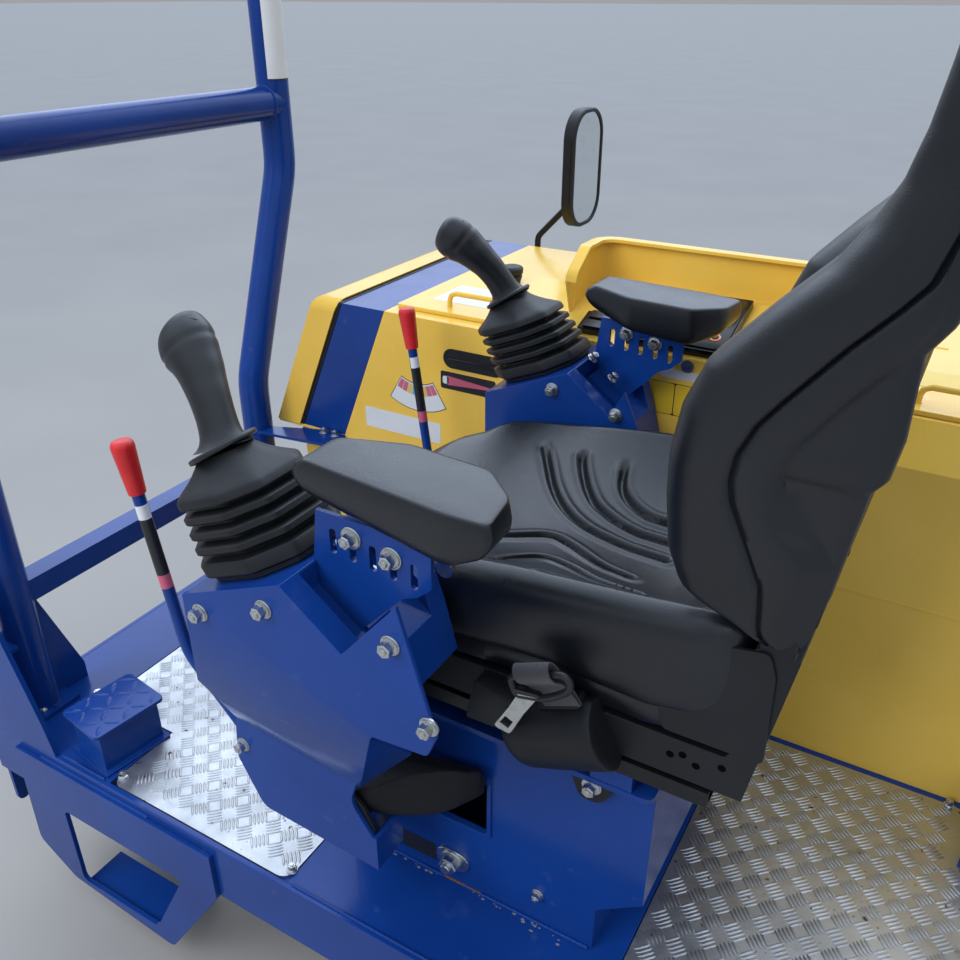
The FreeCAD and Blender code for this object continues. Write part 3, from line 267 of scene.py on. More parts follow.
# Making pieces
def finish_piece(name, bm, material, sharp=35.0, body="station", slot=None, merge=0.0):
    """Object from a mesh, on its body; the slot argument is not used."""
    if merge:
        bmesh.ops.remove_doubles(bm, verts=bm.verts, dist=merge)
    bmesh.ops.recalc_face_normals(bm, faces=bm.faces)
    mesh = bpy.data.meshes.new(name)
    bm.to_mesh(mesh)
    bm.free()
    mesh.polygons.foreach_set("use_smooth", [True] * len(mesh.polygons))
    mesh.set_sharp_from_angle(angle=math.radians(sharp))
    materials = material if isinstance(material, list) else [material]
    for one in materials:
        mesh.materials.append(one)
    piece = bpy.data.objects.new(name, mesh)
    bpy.context.scene.collection.objects.link(piece)
    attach(piece, body)
    slot = slot or slots.get(materials[0])
    return piece
def rings(bm, loops, material=0):
    """Skins closed loops of points, in order, with caps on the two ends."""
    rows = [[bm.verts.new(p) for p in loop] for loop in loops]
    count = len(rows[0])
    for a, b in zip(rows, rows[1:]):
        for i in range(count):
            j = (i + 1) % count
            bm.faces.new((a[i], a[j], b[j], b[i])).material_index = material
    bm.faces.new(rows[0][::-1]).material_index = material
    bm.faces.new(rows[-1]).material_index = material


def towards(place, out, spin=0.0):
    """Matrix with its Z along out, at a place in metres."""
    turn = Vector(out).to_track_quat("Z", "Y").to_matrix().to_4x4()
    return Matrix.Translation(place) @ turn @ Matrix.Rotation(spin, 4, "Z")


def framed(place, u, v):
    """Matrix with its X along u and its Y along v, at a place in metres."""
    u, v = Vector(u).normalized(), Vector(v).normalized()
    return Matrix.Translation(place) @ Matrix((u, v, u.cross(v))).transposed().to_4x4()


def ring(matrix, points, height, grow=1.0):
    """Outline in millimetres, laid at a height in a matrix's frame."""
    return [matrix @ (Vector((p[0] * grow, p[1] * grow, height)) * MM) for p in points]


def circle(radius, sides):
    angles = [2 * math.pi * k / sides for k in range(sides)]
    return [(radius * math.cos(a), radius * math.sin(a)) for a in angles]


def hexagon(flats):
    return circle(flats / math.sqrt(3), 6)


def lathe(bm, profile, matrix, sides=24):
    """Turned shape from (radius, height) pairs in millimetres."""
    rings(bm, [ring(matrix, circle(radius, sides), height) for radius, height in profile])


def pulled(points, middle, pull):
    """Points moved towards the middle."""
    return [p + (middle - p).normalized() * pull for p in points]


def slab(bm, points, matrix, z0, z1, edge=0.0):
    """Plate with a flat outline in millimetres; its upper edge is broken by a small chamfer."""
    middle = Vector((sum(p[0] for p in points) / len(points), sum(p[1] for p in points) / len(points)))
    flat = [Vector(p) for p in points]
    steps = ((z0, 0.0), (z1 - edge, 0.0), (z1, edge)) if edge else ((z0, 0.0), (z1, 0.0))
    rings(bm, [ring(matrix, pulled(flat, middle, pull), height) for height, pull in steps])


def round_rect(wide, high, radius, steps=5, cx=0.0, cy=0.0):
    points = []
    for sx, sy, start in ((1, 1, 0), (-1, 1, 90), (-1, -1, 180), (1, -1, 270)):
        for k in range(steps + 1):
            a = math.radians(start + 90.0 * k / steps)
            points.append((cx + sx * (wide / 2 - radius) + radius * math.cos(a),
                           cy + sy * (high / 2 - radius) + radius * math.sin(a)))
    return points


def bolt(bm, place, out, flats=13.0, washer=21.0, spin=0.0):
    """Flanged hexagon head on a washer, with the thread's end showing in its middle."""
    m = towards(place, out, spin)
    r = washer / 2
    h = flats * 0.62
    lathe(bm, [(r, -0.3), (r, 1.4), (r - 0.6, 2.0), (r * 0.3, 2.0)], m)
    lathe(bm, [(r * 0.86, 2.0), (r * 0.86, 3.2), (flats * 0.56, 4.2), (flats * 0.3, 4.2)], m)
    rings(bm, [ring(m, hexagon(flats), *step) for step in ((3.6, 1.0), (3.6 + h, 1.0), (4.4 + h, 0.88))])
    lathe(bm, [(flats * 0.3, 4.0 + h), (flats * 0.3, 5.6 + h), (flats * 0.24, 6.2 + h)], m, 14)


def heading(points, i):
    """Direction of a line of points at one of them."""
    return (points[min(i + 1, len(points) - 1)] - points[max(i - 1, 0)]).normalized()


def strip(points, across, wide, thick):
    """Loops of a flat band along a line of points; across is the direction of its width."""
    side = across.normalized()
    loops = []
    for i, p in enumerate(points):
        up = heading(points, i).cross(side).normalized()
        a, b = side * wide / 2, up * thick / 2
        loops.append([p - a - b, p + a - b, p + a + b, p - a + b])
    return loops


def tube(bm, points, sizes, sides):
    """Round bar along points, with a radius at each."""
    side = Vector((0.31, 0.17, 0.93))
    loops = []
    for i, p in enumerate(points):
        ahead = heading(points, i)
        side = (side - ahead * side.dot(ahead)).normalized()
        up = ahead.cross(side)
        loops.append([p + (side * x + up * y) * sizes[i] for x, y in circle(1.0, sides)])
    rings(bm, loops)


def curve_points(control, per):
    """Smooth line through its control points."""
    pts = [Vector(p) for p in control]
    pts = [pts[0] * 2 - pts[1]] + pts + [pts[-1] * 2 - pts[-2]]
    found = []
    for i in range(1, len(pts) - 2):
        a, b, c, d = pts[i - 1:i + 3]
        for k in range(per):
            t = k / per
            found.append(0.5 * (2 * b + (c - a) * t + (2 * a - 5 * b + 4 * c - d) * t * t
                                + (3 * b - a - 3 * c + d) * t ** 3))
    found.append(pts[-2])
    return found


def soft_polygon(corners, radius, steps):
    """Closed outline with its corners rounded, each by the same number of points."""
    found = []
    for i, corner in enumerate(corners):
        here = Vector(corner)
        a, b = Vector(corners[i - 1]) - here, Vector(corners[(i + 1) % len(corners)]) - here
        r = min(radius, a.length * 0.45, b.length * 0.45)
        start, end = here + a.normalized() * r, here + b.normalized() * r
        for k in range(steps + 1):
            t = k / steps
            found.append(start * (1 - t) ** 2 + here * 2 * t * (1 - t) + end * t * t)
    return found


def smooth_step(low, high, value):
    t = max(0.0, min(1.0, (value - low) / (high - low)))
    return t * t * (3 - 2 * t)


def along_table(table, value):
    """Value between the rows of a table of (position, value)."""
    if value <= table[0][0]:
        return table[0][1]
    for (a, va), (b, vb) in zip(table, table[1:]):
        if value <= b:
            return va + (vb - va) * (value - a) / (b - a)
    return table[-1][1]
# The CAD nodes that stay: finish, broken edges and smooth round faces
def dress(name, material, edge=0.8):
    node = nodes[name]
    node.data.materials.clear()
    node.data.materials.append(material)
    node.data.polygons.foreach_set("material_index", [0] * len(node.data.polygons))
    for attribute in ("custom_normal", "sharp_edge", "sharp_face"):
        found = node.data.attributes.get(attribute)
        if found:
            node.data.attributes.remove(found)
    node.data.polygons.foreach_set("use_smooth", [True] * len(node.data.polygons))
    weld = node.modifiers.new("weld", "WELD")
    weld.merge_threshold = 1e-5
    flat = node.modifiers.new("flat", "DECIMATE")
    flat.decimate_type = "DISSOLVE"
    flat.angle_limit = math.radians(0.5)
    if edge:
        broken = node.modifiers.new("edge", "BEVEL")
        broken.width = edge * MM
        broken.segments = 2
        broken.limit_method = "ANGLE"
        broken.angle_limit = math.radians(28 if edge > 0.3 else 60)
        broken.use_clamp_overlap = True
    normals = node.modifiers.new("normals", "WEIGHTED_NORMAL")
    normals.keep_sharp = True


finishes = {
    blue: ("deck_frame deck_side_beams deck_end_beams deck_bearers deck_cross_members corner_plate side_step "
           "left_post_foot left_post right_post roll_hoop upper_rail lower_rail right_post_bracket hood_band "
           "pedestal seat_table consoles console_arms armrest_plates foot_pedals levers"),
    yellow: ("hood_side_panel hood_rear_side hood_nose_cap hood_front_frame hood_far_panel hood_front_top "
             "hood_rear_top hood_end_panel front_lid rear_lid instrument_cowl"),
    satin: "mirror_arm upper_rails lower_rails swivel_latch",
    shell: "seat_pan backrest_shell lid_knob mirror_head",
    gloss_black: "display_unit switch_block belt_buckle",
    rubber: "hood_seal",
    tread: "tread_plates",
    iron: "engine_block",
}
fine_edges = {"tread_plates": 0.4, "upper_rail": 0.3, "left_post": 0.3, "roll_hoop": 0.3, "right_post": 0.3,
              "levers": 0.3, "mirror_arm": 0.3, "seat_pan": 3.0, "backrest_shell": 3.0, "lid_knob": 1.5,
              "mirror_head": 2.0, "consoles": 1.2, "engine_block": 6.0, "hood_nose_cap": 1.0, "front_lid": 1.2,
              "rear_lid": 1.2}
for material, names in finishes.items():
    for name in names.split():
        dress(name, material, fine_edges.get(name, 0.8))


# Seat cushion
GROOVES = (
    ((77, -156), (53, -120), (19, -71), (-15, -37), (-54, -15), (-105, -6), (-166, -4)),
    ((15, -156), (3, -128), (-24, -88), (-54, -60), (-104, -41), (-166, -38)),
    ((-50, -155), (-64, -111), (-87, -87), (-118, -74), (-153, -72)),
    ((77, 156), (50, 116), (11, 70), (-26, 34), (-60, 37), (-104, 55), (-148, 64)),
    ((-19, 176), (-30, 128), (-50, 96), (-83, 95), (-129, 112), (-178, 117)),
    ((-74, 189), (-98, 172), (-129, 170), (-174, 178)),
)


def cushion_top(x, y):
    """Height of the seat's face over the deck, in millimetres."""
    middle = along_table(((-300, 492), (-200, 486), (-120, 488), (0, 500), (100, 512), (200, 516), (280, 500)), x)
    side = along_table(((-300, 582), (-200, 571), (-60, 559), (60, 541), (160, 528), (280, 506)), x)
    share = min(1.0, abs(y) / 196.0) ** 2.1
    height = middle + (side - middle) * share
    rear = smooth_step(-225, -290, x)
    return height + rear * (1 - share) * 34


def groove_depth(x, y, lines):
    """How far a channel goes down at a point: steep on its outer side, soft on its inner one."""
    depth = 0.0
    for line in lines:
        best, where = 1e9, 0
        for i, (px, py) in enumerate(line):
            d = (px - x) ** 2 + (py - y) ** 2
            if d < best:
                best, where = d, i
        d = math.sqrt(best)
        if d > 18:
            continue
        share = where / (len(line) - 1)
        fade = smooth_step(0.0, 0.14, share)
        depth = max(depth, fade * (1 - smooth_step(2.0, 6.4, d)) * 9.5)
        depth -= fade * smooth_step(5.0, 9.0, d) * (1 - smooth_step(9.0, 18.0, d)) * 2.4
    return depth


def seat_cushion():
    x0, x1, half = -320.0, 258.0, 222.0
    edge_scale = 248.0  # millimetres from the middle to the rim, for the roll's own measure
    crease = ((-322, 516), (-312, 486), (-286, 466), (-234, 457), (-181, 459), (-120, 464), (0, 456), (270, 442))
    lines = [[(p.x, p.y) for p in curve_points(groove, 10)] for groove in GROOVES]
    columns, across = 230, 176
    power, roll = 7.0, 30.0
    bm = bmesh.new()
    grid = []
    for i in range(columns + 1):
        row = []
        for j in range(across + 1):
            a, b = 2 * i / columns - 1, 2 * j / across - 1
            m = max(abs(a), abs(b))
            p = power - 3.4 * smooth_step(0.2, 0.9, a) + 11 * smooth_step(-0.4, -0.95, a)
            s = (abs(a) ** p + abs(b) ** p) ** (1 / p)
            fit = m / s if s > 1e-9 else 1.0
            x = (x0 + x1) / 2 + a * fit * (x1 - x0) / 2
            y = b * fit * half
            z = cushion_top(x, y)
            front = smooth_step(0.55, 1.0, a)
            r = roll * (1 + 0.9 * front) * (1 - 0.6 * smooth_step(-0.80, -0.97, a))
            d = (1 - m) * edge_scale
            if d < r:
                z -= r * (1 - math.sqrt(max(0.0, 1 - (1 - d / r) ** 2)))
            z -= groove_depth(x, y, lines)
            row.append(bm.verts.new(at(x, y, z)))
        grid.append(row)
    for i in range(columns):
        for j in range(across):
            bm.faces.new((grid[i][j], grid[i + 1][j], grid[i + 1][j + 1], grid[i][j + 1]))
    rim = [grid[i][0] for i in range(columns)] + [grid[columns][j] for j in range(across)]
    rim += [grid[i][across] for i in range(columns, 0, -1)] + [grid[0][j] for j in range(across, 0, -1)]
    centre = at((x0 + x1) / 2, 0, 0)
    last = rim
    # Share of the way down to the crease, growth outward, then how far the skirt under it goes down.
    steps = ((0.15, 1.0, 0), (0.35, 1.8, 0), (0.6, 1.5, 0), (0.8, -0.5, 0), (0.92, -3.0, 0), (1.0, -8.0, 0),
             (1.0, -11.0, 2), (1.0, -9.5, 6), (1.0, -10.0, 26), (1.0, -22.0, 34))
    for share, grow, under in steps:
        ring = []
        for v in rim:
            x, y, z = v.co.x / MM, v.co.y / MM, v.co.z / MM - DECK
            outward = v.co - centre
            outward.z = 0
            low = max(along_table(crease, x) - under, 426)
            ring.append(bm.verts.new(at(x, y, z + (low - z) * share) + outward.normalized() * grow * MM))
        for k in range(len(rim)):
            n = (k + 1) % len(rim)
            bm.faces.new((last[k], last[n], ring[n], ring[k]))
        last = ring
    bm.faces.new(last)
    piece = finish_piece("seat_cushion_cover", bm, vinyl, 60, "seat")
    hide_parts("seat_cushion")


# Backrest
WING_FRONT = ((590, -272), (612, -256), (650, -242), (700, -236), (740, -235), (790, -242), (830, -258),
              (880, -303), (920, -342), (950, -362), (985, -380), (1020, -389), (1060, -395), (1100, -400))
WING_SEAM = ((575, -319), (615, -325), (645, -322), (684, -302), (715, -287), (735, -283), (760, -286),
             (790, -299), (815, -317), (865, -356), (898, -385), (920, -402), (960, -414), (1060, -426),
             (1110, -432))
FLANGE_REAR = ((575, -346), (600, -350), (640, -358), (672, -360), (688, -348), (700, -334), (716, -323),
               (742, -319), (762, -325), (780, -334), (820, -362), (850, -386), (890, -412), (960, -424),
               (1106, -440))
SIDE_REAR = ((575, -366), (605, -370), (641, -380), (749, -394), (762, -404), (798, -409), (885, -408),
             (905, -416), (960, -426), (1106, -442))


def shell_rear(z):
    return -372.0 - 0.115 * (z - 585.0)


def backrest_cushion():
    low, high = 592.0, 1106.0
    rows, front, side = 120, 36, 24
    bm = bmesh.new()
    grid = []
    for i in range(rows + 1):
        t = i / rows
        z = low + (high - low) * t
        end = min(t, 1 - t)
        squeeze = math.sqrt(max(0.0, 1 - (1 - min(1.0, end / 0.05)) ** 2))
        wide = along_table(((592, 226), (640, 231), (760, 233), (900, 228), (1000, 219), (1106, 218)), z)
        base = shell_rear(z) + 19
        middle = base + along_table(((592, 46), (680, 60), (780, 48), (900, 40), (1000, 36), (1106, 22)), z)
        wing = along_table(WING_FRONT, z) + 13
        seam = along_table(WING_SEAM, z)
        flange = min(seam - 12, along_table(FLANGE_REAR, z))
        roll = 32.0 - 15.0 * smooth_step(950, 1010, z)
        half = []
        for j in range(front + 1):
            y = j / front * (wide - roll)
            half.append((middle + (wing - middle) * smooth_step(74, 172, y * 233 / wide), y))
        for k in range(1, 7):
            a = k / 6 * math.pi / 2
            half.append((wing - roll * (1 - math.cos(a)), wide - roll + roll * math.sin(a)))
        start = wing - roll
        seam = min(seam, start - 14)
        flange = min(flange, seam - 12)
        half += [(start + (seam + 6 - start) * k / 3, wide) for k in (1, 2, 3)]
        half += [(seam + 3, wide - 1.2), (seam + 0.8, wide - 6), (seam - 0.8, wide - 7), (seam - 3, wide - 4)]
        for k in range(1, 6):
            half.append((seam - 3 + (flange + 9 - seam + 3) * k / 5, wide - 4 + 1.5 * math.sin(k / 5 * math.pi)))
        edge = min(along_table(SIDE_REAR, z), flange - 12)
        panel_y = max(215.2, wide - 12 - 4 * smooth_step(749, 745, z))
        soft = 3 + 7 * smooth_step(750, 700, z)
        half += [(flange + 5, wide - 5), (flange + 1, wide - 7.5), (flange - soft, wide - 11),
                 (flange - soft * 2, panel_y)]
        half += [(flange - soft * 2 + (edge + 7 - flange + soft * 2) * k / 3, panel_y) for k in (1, 2, 3)]
        half += [(edge + 2, panel_y - 2), (edge, panel_y - 6), (edge + 3, panel_y - 14), (edge + 12, 196)]
        row = []
        for sign in (-1, 1):
            for x, y in half[:0:-1] if sign < 0 else half:
                share = smooth_step(wide - roll, wide, y)
                sag = 17 * (1 - t) ** 8 * smooth_step(-275, -330, x)
                x = base - 6 + (x - base + 6) * (0.55 + 0.45 * squeeze)
                y = y * (0.985 + 0.015 * squeeze)
                row.append(bm.verts.new(at(x, y * sign, z - sag * share)))
        grid.append(row)
    columns = len(grid[0]) - 1
    for i in range(rows):
        for j in range(columns):
            bm.faces.new((grid[i][j], grid[i][j + 1], grid[i + 1][j + 1], grid[i + 1][j]))
        bm.faces.new((grid[i][columns], grid[i][0], grid[i + 1][0], grid[i + 1][columns]))
    bm.faces.new(grid[0][::-1])
    bm.faces.new(grid[rows])
    piece = finish_piece("backrest_cushion_cover", bm, vinyl, 50, "backrest", merge=1e-5)
    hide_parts("backrest_cushion")


# Armrest pads
def armrest_pads():
    """Firm pads with flat faces and a crisp crease round the top."""
    top = ((76, 358), (76, 302), (10, 274), (-80, 277), (-118, 312), (-126, 364), (-84, 368))
    under = ((-140, 702), (-119, 678), (-95, 664), (-80, 663), (0, 670), (38, 677), (85, 690), (110, 699))
    middle = Vector((-22, 324))
    # Distance out from the top's outline, then how far down, as a share of the height at that point.
    layers = ((-44, -0.020), (-22, -0.012), (-6, -0.004), (-1.6, 0.006), (0.2, 0.030), (1.2, 0.070), (3.0, 0.30),
              (4.4, 0.60), (4.0, 0.80), (2.0, 0.92), (-2.5, 0.985), (-9, 1.0), (-30, 1.0))
    bm = bmesh.new()
    for side in (1, -1):
        line = soft_polygon(top, 9, 5)
        loops = []
        for out, down in layers:
            loop = []
            for q in pulled(line, middle, -out):
                nose = smooth_step(40, 80, q.x) * 12 * math.sin(math.pi * max(0.0, min(1.0, down)))
                high = 722 - (76 - q.x) * 0.042
                low = along_table(under, q.x + nose)
                loop.append(at(q.x + nose, q.y * side, high + (low - high) * down))
            loops.append(loop[::side])
        rings(bm, loops)
    piece = finish_piece("armrest_pad_covers", bm, vinyl, 40)
    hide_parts("armrest_pads")


# Gaiters and joysticks
TILT = math.atan2(604.0 - 545.0, 222.0 - 82.0)
GAITER_X, GAITER_Y, GAITER_HIGH = 155.0, 318.0, 122.0
GAITER_Z = 604.0 - (GAITER_X - 82.0) * math.tan(TILT)


def over_console(side, x, y, z):
    """Point off the console's plate: x forward, y outward and z up, on the gaiter's leaning axis."""
    share = z / GAITER_HIGH
    flat = Matrix.Rotation(TILT, 4, "Y") @ Vector((x + 22.6 * share, y - 6.0 * share, z))
    return at(GAITER_X + flat.x, (GAITER_Y + flat.y) * side, GAITER_Z + flat.z)


def gaiters():
    """Stepped foot, three flat-edged folds and a dome with a skirt."""
    profile = [(60, 0), (64, 1.5), (64.5, 6.5), (69, 8), (71, 10), (71.5, 21.5), (70, 24.5), (61, 26), (59, 27.5),
               (58.5, 29.5)]
    for i in range(3):
        half, z = 69 - 2 * i, 26 + 16 * i
        profile += [(half - 9, z + 5.5), (half - 1.5, z + 6.5), (half, z + 8), (half, z + 13.5), (half - 1.5, z + 15),
                    (half - 9, z + 16), (half - 12, z + 18), (half - 12.5, z + 20)]
    profile += [(56, 79.5), (62.5, 80.5), (64, 82.5), (63.5, 89), (61.5, 92), (55, 96.5), (47.5, 102), (40.5, 108),
                (35, 113.5), (31, 118), (29, 122)]
    bm = bmesh.new()
    for side in (1, -1):
        loops = []
        for half, z in profile:
            cut = half / 2
            corners = [(-half, -cut), (-cut, -half), (cut, -half), (half, -cut), (half, cut), (cut, half),
                       (-cut, half), (-half, cut)]
            radius = 7 + 9 * smooth_step(88, 122, z)
            loop = [over_console(side, p.x, p.y, z) for p in soft_polygon(corners, radius, 4)]
            loops.append(loop[::side])
        rings(bm, loops)
    piece = finish_piece("gaiter_bellows", bm, rubber, 38)
    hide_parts("gaiters")


# Along X, across Y and up from the collar, then the lean, and half the width fore and aft and to the sides.
STICK = ((0, 0, 3, 23, 35, 32), (1.5, -0.5, 6, 24, 29, 27), (4, -2, 11, 26, 25, 23),
         (8, -4.5, 18, 28, 22.8, 21), (16, -9, 32, 32, 21.8, 20.5), (27, -15, 48, 36, 22.8, 21.5),
         (36, -20, 58, 39, 24, 23), (45, -25, 68, 43, 26, 25), (54, -29, 76, 46, 28, 27),
         (64, -33, 83, 48, 32.5, 28.5), (74, -37.5, 91, 50, 34, 28.5), (82.5, -41, 97.5, 52, 32.5, 26),
         (89, -44, 103, 54, 28.5, 22), (93, -45.5, 107, 55, 20.5, 15), (95, -46, 109, 56, 10, 7))


def joysticks():
    bm = bmesh.new()
    for side in (1, -1):
        foot = over_console(side, 0, 0, GAITER_HIGH)
        up = (over_console(side, 0, 0, GAITER_HIGH + 1) - foot).normalized()
        loops = []
        for grow, high in ((0.90, -1), (0.99, 0), (1.0, 1.5), (1.0, 4), (0.97, 5.2), (0.86, 5.8)):
            oval = [(36 * grow * math.cos(math.radians(a)), 41 * grow * math.sin(math.radians(a)), high)
                    for a in range(0, 360, 9)]
            loops.append([foot + Matrix.Rotation(math.asin(up.x), 4, "Y") @ Vector(p) * MM for p in oval][::side])
        rings(bm, loops)
        loops = []
        path = curve_points([row[:3] for row in STICK], 4)
        sections = curve_points([row[3:] for row in STICK], 4)
        for k, (p, (lean, wide, deep)) in enumerate(zip(path, sections)):
            angle = math.radians(lean)
            along = Vector((math.sin(angle), -0.35 * math.sin(angle) * side, math.cos(angle))).normalized()
            fore = Vector((1, 0, -0.2))
            fore = (fore - along * fore.dot(along)).normalized()
            across = along.cross(fore) * side
            pinch = 1 - 0.035 * (k in (37, 38))
            centre = foot + Vector((p.x, p.y * side, p.z)) * MM
            loops.append([centre + (fore * wide * c + across * deep * s) * MM * pinch
                          for c, s in circle(1.0, 36)][::side])
        rings(bm, loops)
    piece = finish_piece("joystick_grips", bm, stick_plastic, 50)
    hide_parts("joysticks")
    bm = bmesh.new()
    for side in (1, -1):
        foot = over_console(side, 0, 0, GAITER_HIGH)
        out = Vector((0.04, -0.33 * side, 0.94)).normalized()
        for along, across in ((-7, 6), (7, -3)):
            place = foot + Vector((71 + along, (-46 + across) * side, 119.5 - abs(along) * 0.1)) * MM
            m = towards(place, out, math.radians(25 * side))
            oval = round_rect(15, 10, 4.8, 4)
            rings(bm, [ring(m, oval, *step) for step in ((-3, 1.0), (1.4, 1.0), (2.4, 0.82), (2.9, 0.45))])
    finish_piece("joystick_buttons", bm, gloss_black, 40, slot="stick_plastic")


LEVER_KNEE, LEVER_TOP = Vector((366, 292, 335)), Vector((400, 296, 566))


def lever_grips():
    along = (LEVER_TOP - LEVER_KNEE).normalized()
    bm = bmesh.new()
    for side in (1, -1):
        flip = Vector((1, side, 1))
        m = towards(at(*(LEVER_TOP * flip)), along * flip)
        lathe(bm, [(9, 0), (10.8, 1), (11.2, 6), (12.6, 30), (14, 55), (14.4, 61), (13.9, 65.5), (11.8, 69),
                   (8, 70.3)], m, 32)
    piece = finish_piece("lever_grip_covers", bm, red, 45)
    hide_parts("lever_grips")
    bm = bmesh.new()
    for side in (1, -1):
        flip = Vector((1, side, 1))
        ahead = (along * flip).normalized()
        facing = Vector((-0.75, 0.62, 0))
        facing = (facing - ahead * facing.dot(ahead)).normalized()
        across = ahead.cross(facing)
        for start, stop, material in ((0.86, 0.94, 0), (0.525, 0.858, 1), (0.44, 0.523, 2)):
            loops = []
            for share in (start, stop):
                centre = at(*((LEVER_KNEE + (LEVER_TOP - LEVER_KNEE) * share) * flip))
                outer, inner = [], []
                for a in range(-66, 67, 12):
                    ray = facing * math.cos(math.radians(a)) + across * math.sin(math.radians(a))
                    outer.append(centre + ray * 0.0085)
                    inner.append(centre + ray * 0.0078)
                loops.append(outer + inner[::-1])
            rings(bm, loops, material=material)
    finish_piece("lever_labels", bm, [white_label, black_label, pink_label])


# Tread pattern
def lozenge(bm, x, y, z, length, wide, high, angle):
    c, s = math.cos(angle), math.sin(angle)
    shape = [(-0.5, 0, 0), (-0.28, -0.5, 0), (0.28, -0.5, 0), (0.5, 0, 0), (0.28, 0.5, 0), (-0.28, 0.5, 0),
             (-0.3, 0, 1), (0.3, 0, 1)]
    verts = []
    for u, v, w in shape:
        px, py = u * length, v * wide
        verts.append(bm.verts.new(at(x + px * c - py * s, y + px * s + py * c, z + w * high)))
    for a, b, d in ((0, 1, 6), (2, 3, 7), (3, 4, 7), (5, 0, 6)):
        bm.faces.new((verts[a], verts[b], verts[d]))
    for face in ((1, 2, 7, 6), (4, 5, 6, 7)):
        bm.faces.new([verts[k] for k in face])
    bm.faces.new([verts[k] for k in (5, 4, 3, 2, 1, 0)])


def tread_bars():
    pitch, per, length, wide = 30.0, 5, 25.0, 4.2
    areas = ((232, 744, -398, 304, 1), (-744, -232, -304, 304, -1))
    bm = bmesh.new()
    for x0, x1, y0, y1, turn in areas:
        for i in range(int((x1 - x0) / pitch)):
            for j in range(int((y1 - y0) / pitch)):
                cx, cy = x0 + (i + 0.5) * pitch, y0 + (j + 0.5) * pitch
                if turn > 0 and cx > 575 and cy > 170 or turn < 0 and cx < -575 and cy < -170:
                    continue
                angle = math.radians(45 if (i + j) % 2 else -45)
                for k in range(per):
                    off = (k - (per - 1) / 2) * 5.6
                    lozenge(bm, cx - off * math.sin(angle), cy + off * math.cos(angle), -0.1, length, wide,
                            1.7, angle)
    finish_piece("tread_bars", bm, tread, 80)


def pedal_bars():
    bm = bmesh.new()
    for turn in (1, -1):
        for i in range(4):
            for j in range(5):
                u, v = (i - 1.5) * 24.0, (j - 2) * 24.0
                if abs(u) > 38 or abs(v) > 50:
                    continue
                yaw = math.radians(-8)
                x = 640 + u * math.cos(yaw) - v * math.sin(yaw)
                y = 242 + u * math.sin(yaw) + v * math.cos(yaw)
                angle = yaw + math.radians(45 if (i + j) % 2 else -45)
                lozenge(bm, x * turn, y * turn, 83.9, 27, 7.5, 1.8, angle)
    finish_piece("pedal_bars", bm, blue, 80)


# Fasteners
def fasteners():
    bm = bmesh.new()
    turn = random.Random(4)
    for side in (1, -1):
        for x, z in ((197, 531), (105, 569), (-47, 585), (-86, 507)):
            bolt(bm, at(x, 400 * side, z), Y * side, spin=turn.random())
        for x, z in ((105, 574), (1, 555)):
            bolt(bm, at(x, 235 * side, z), -Y * side, spin=turn.random())
        bolt(bm, at(277, 303 * side, 227), Y * side, spin=turn.random())
        for x, z in ((34, 643), (-12, 635)):
            bolt(bm, at(x, 345 * side, z), Y * side, 13, 24, turn.random())
            bolt(bm, at(x, 340 * side, z), -Y * side, 13, 22, turn.random())
        bolt(bm, at(-105, 190 * side, 55), Y * side, 10, 18, turn.random())
        for x in (75, 41):
            bolt(bm, at(x, 310 * side, 556 + (x - 12) * 0.771), Vector((-0.611, 0, 0.792)), 10, 17, turn.random())
    bolt(bm, at(-172, 201, 297), Y, 14, 25, turn.random())
    for x, y in ((232, 292), (742, -390), (240, -390), (-742, 292), (-240, 292), (-560, -305), (580, 292)):
        bolt(bm, at(x, y, 0), Z, 10, 17, turn.random())
    for x, y in ((764, 214), (812, 262), (768, 184)):
        bolt(bm, at(x, y, 0), Z, 13, 20, turn.random())
    for x in (667, 695):
        bolt(bm, at(x, -392, 300), Z, 10, 18, turn.random())
    finish_piece("bolts", bm, zinc, 30)
    bm = bmesh.new()
    m = towards(at(-172, 201, 297), Y)
    lathe(bm, [(2.6, 10.5), (4.4, 13.9), (3.4, 14.3), (1.0, 14.4)], m, 12)
    finish_piece("bolt_paint_mark", bm, pink_label)
    bm = bmesh.new()
    m = towards(at(25, 190, 45), Y)
    slab(bm, round_rect(52, 34, 16, 6), m, -0.3, 4, 0.8)
    lathe(bm, [(17, 4), (17, 6), (16, 7), (8, 7)], m, 32)
    rings(bm, [ring(m, hexagon(24), *step) for step in ((6, 1), (17, 1), (19, 0.9))])
    lathe(bm, [(8, 18), (8, 23), (7, 24.5), (3, 24.5)], m, 20)
    finish_piece("lock_bolt", bm, zinc, 30)


# Labels, all of them blank
LID_TOP, REAR_LID_TOP = 588.0, 600.0


def label(name, points, place, up, material, body="station", thick=0.5):
    """Flat sticker that reads from the operator's side, with the top of its outline along up."""
    bm = bmesh.new()
    slab(bm, points, framed(place, -X, up), -0.2, thick, 0.2)
    finish_piece(name, bm, material, body=body)


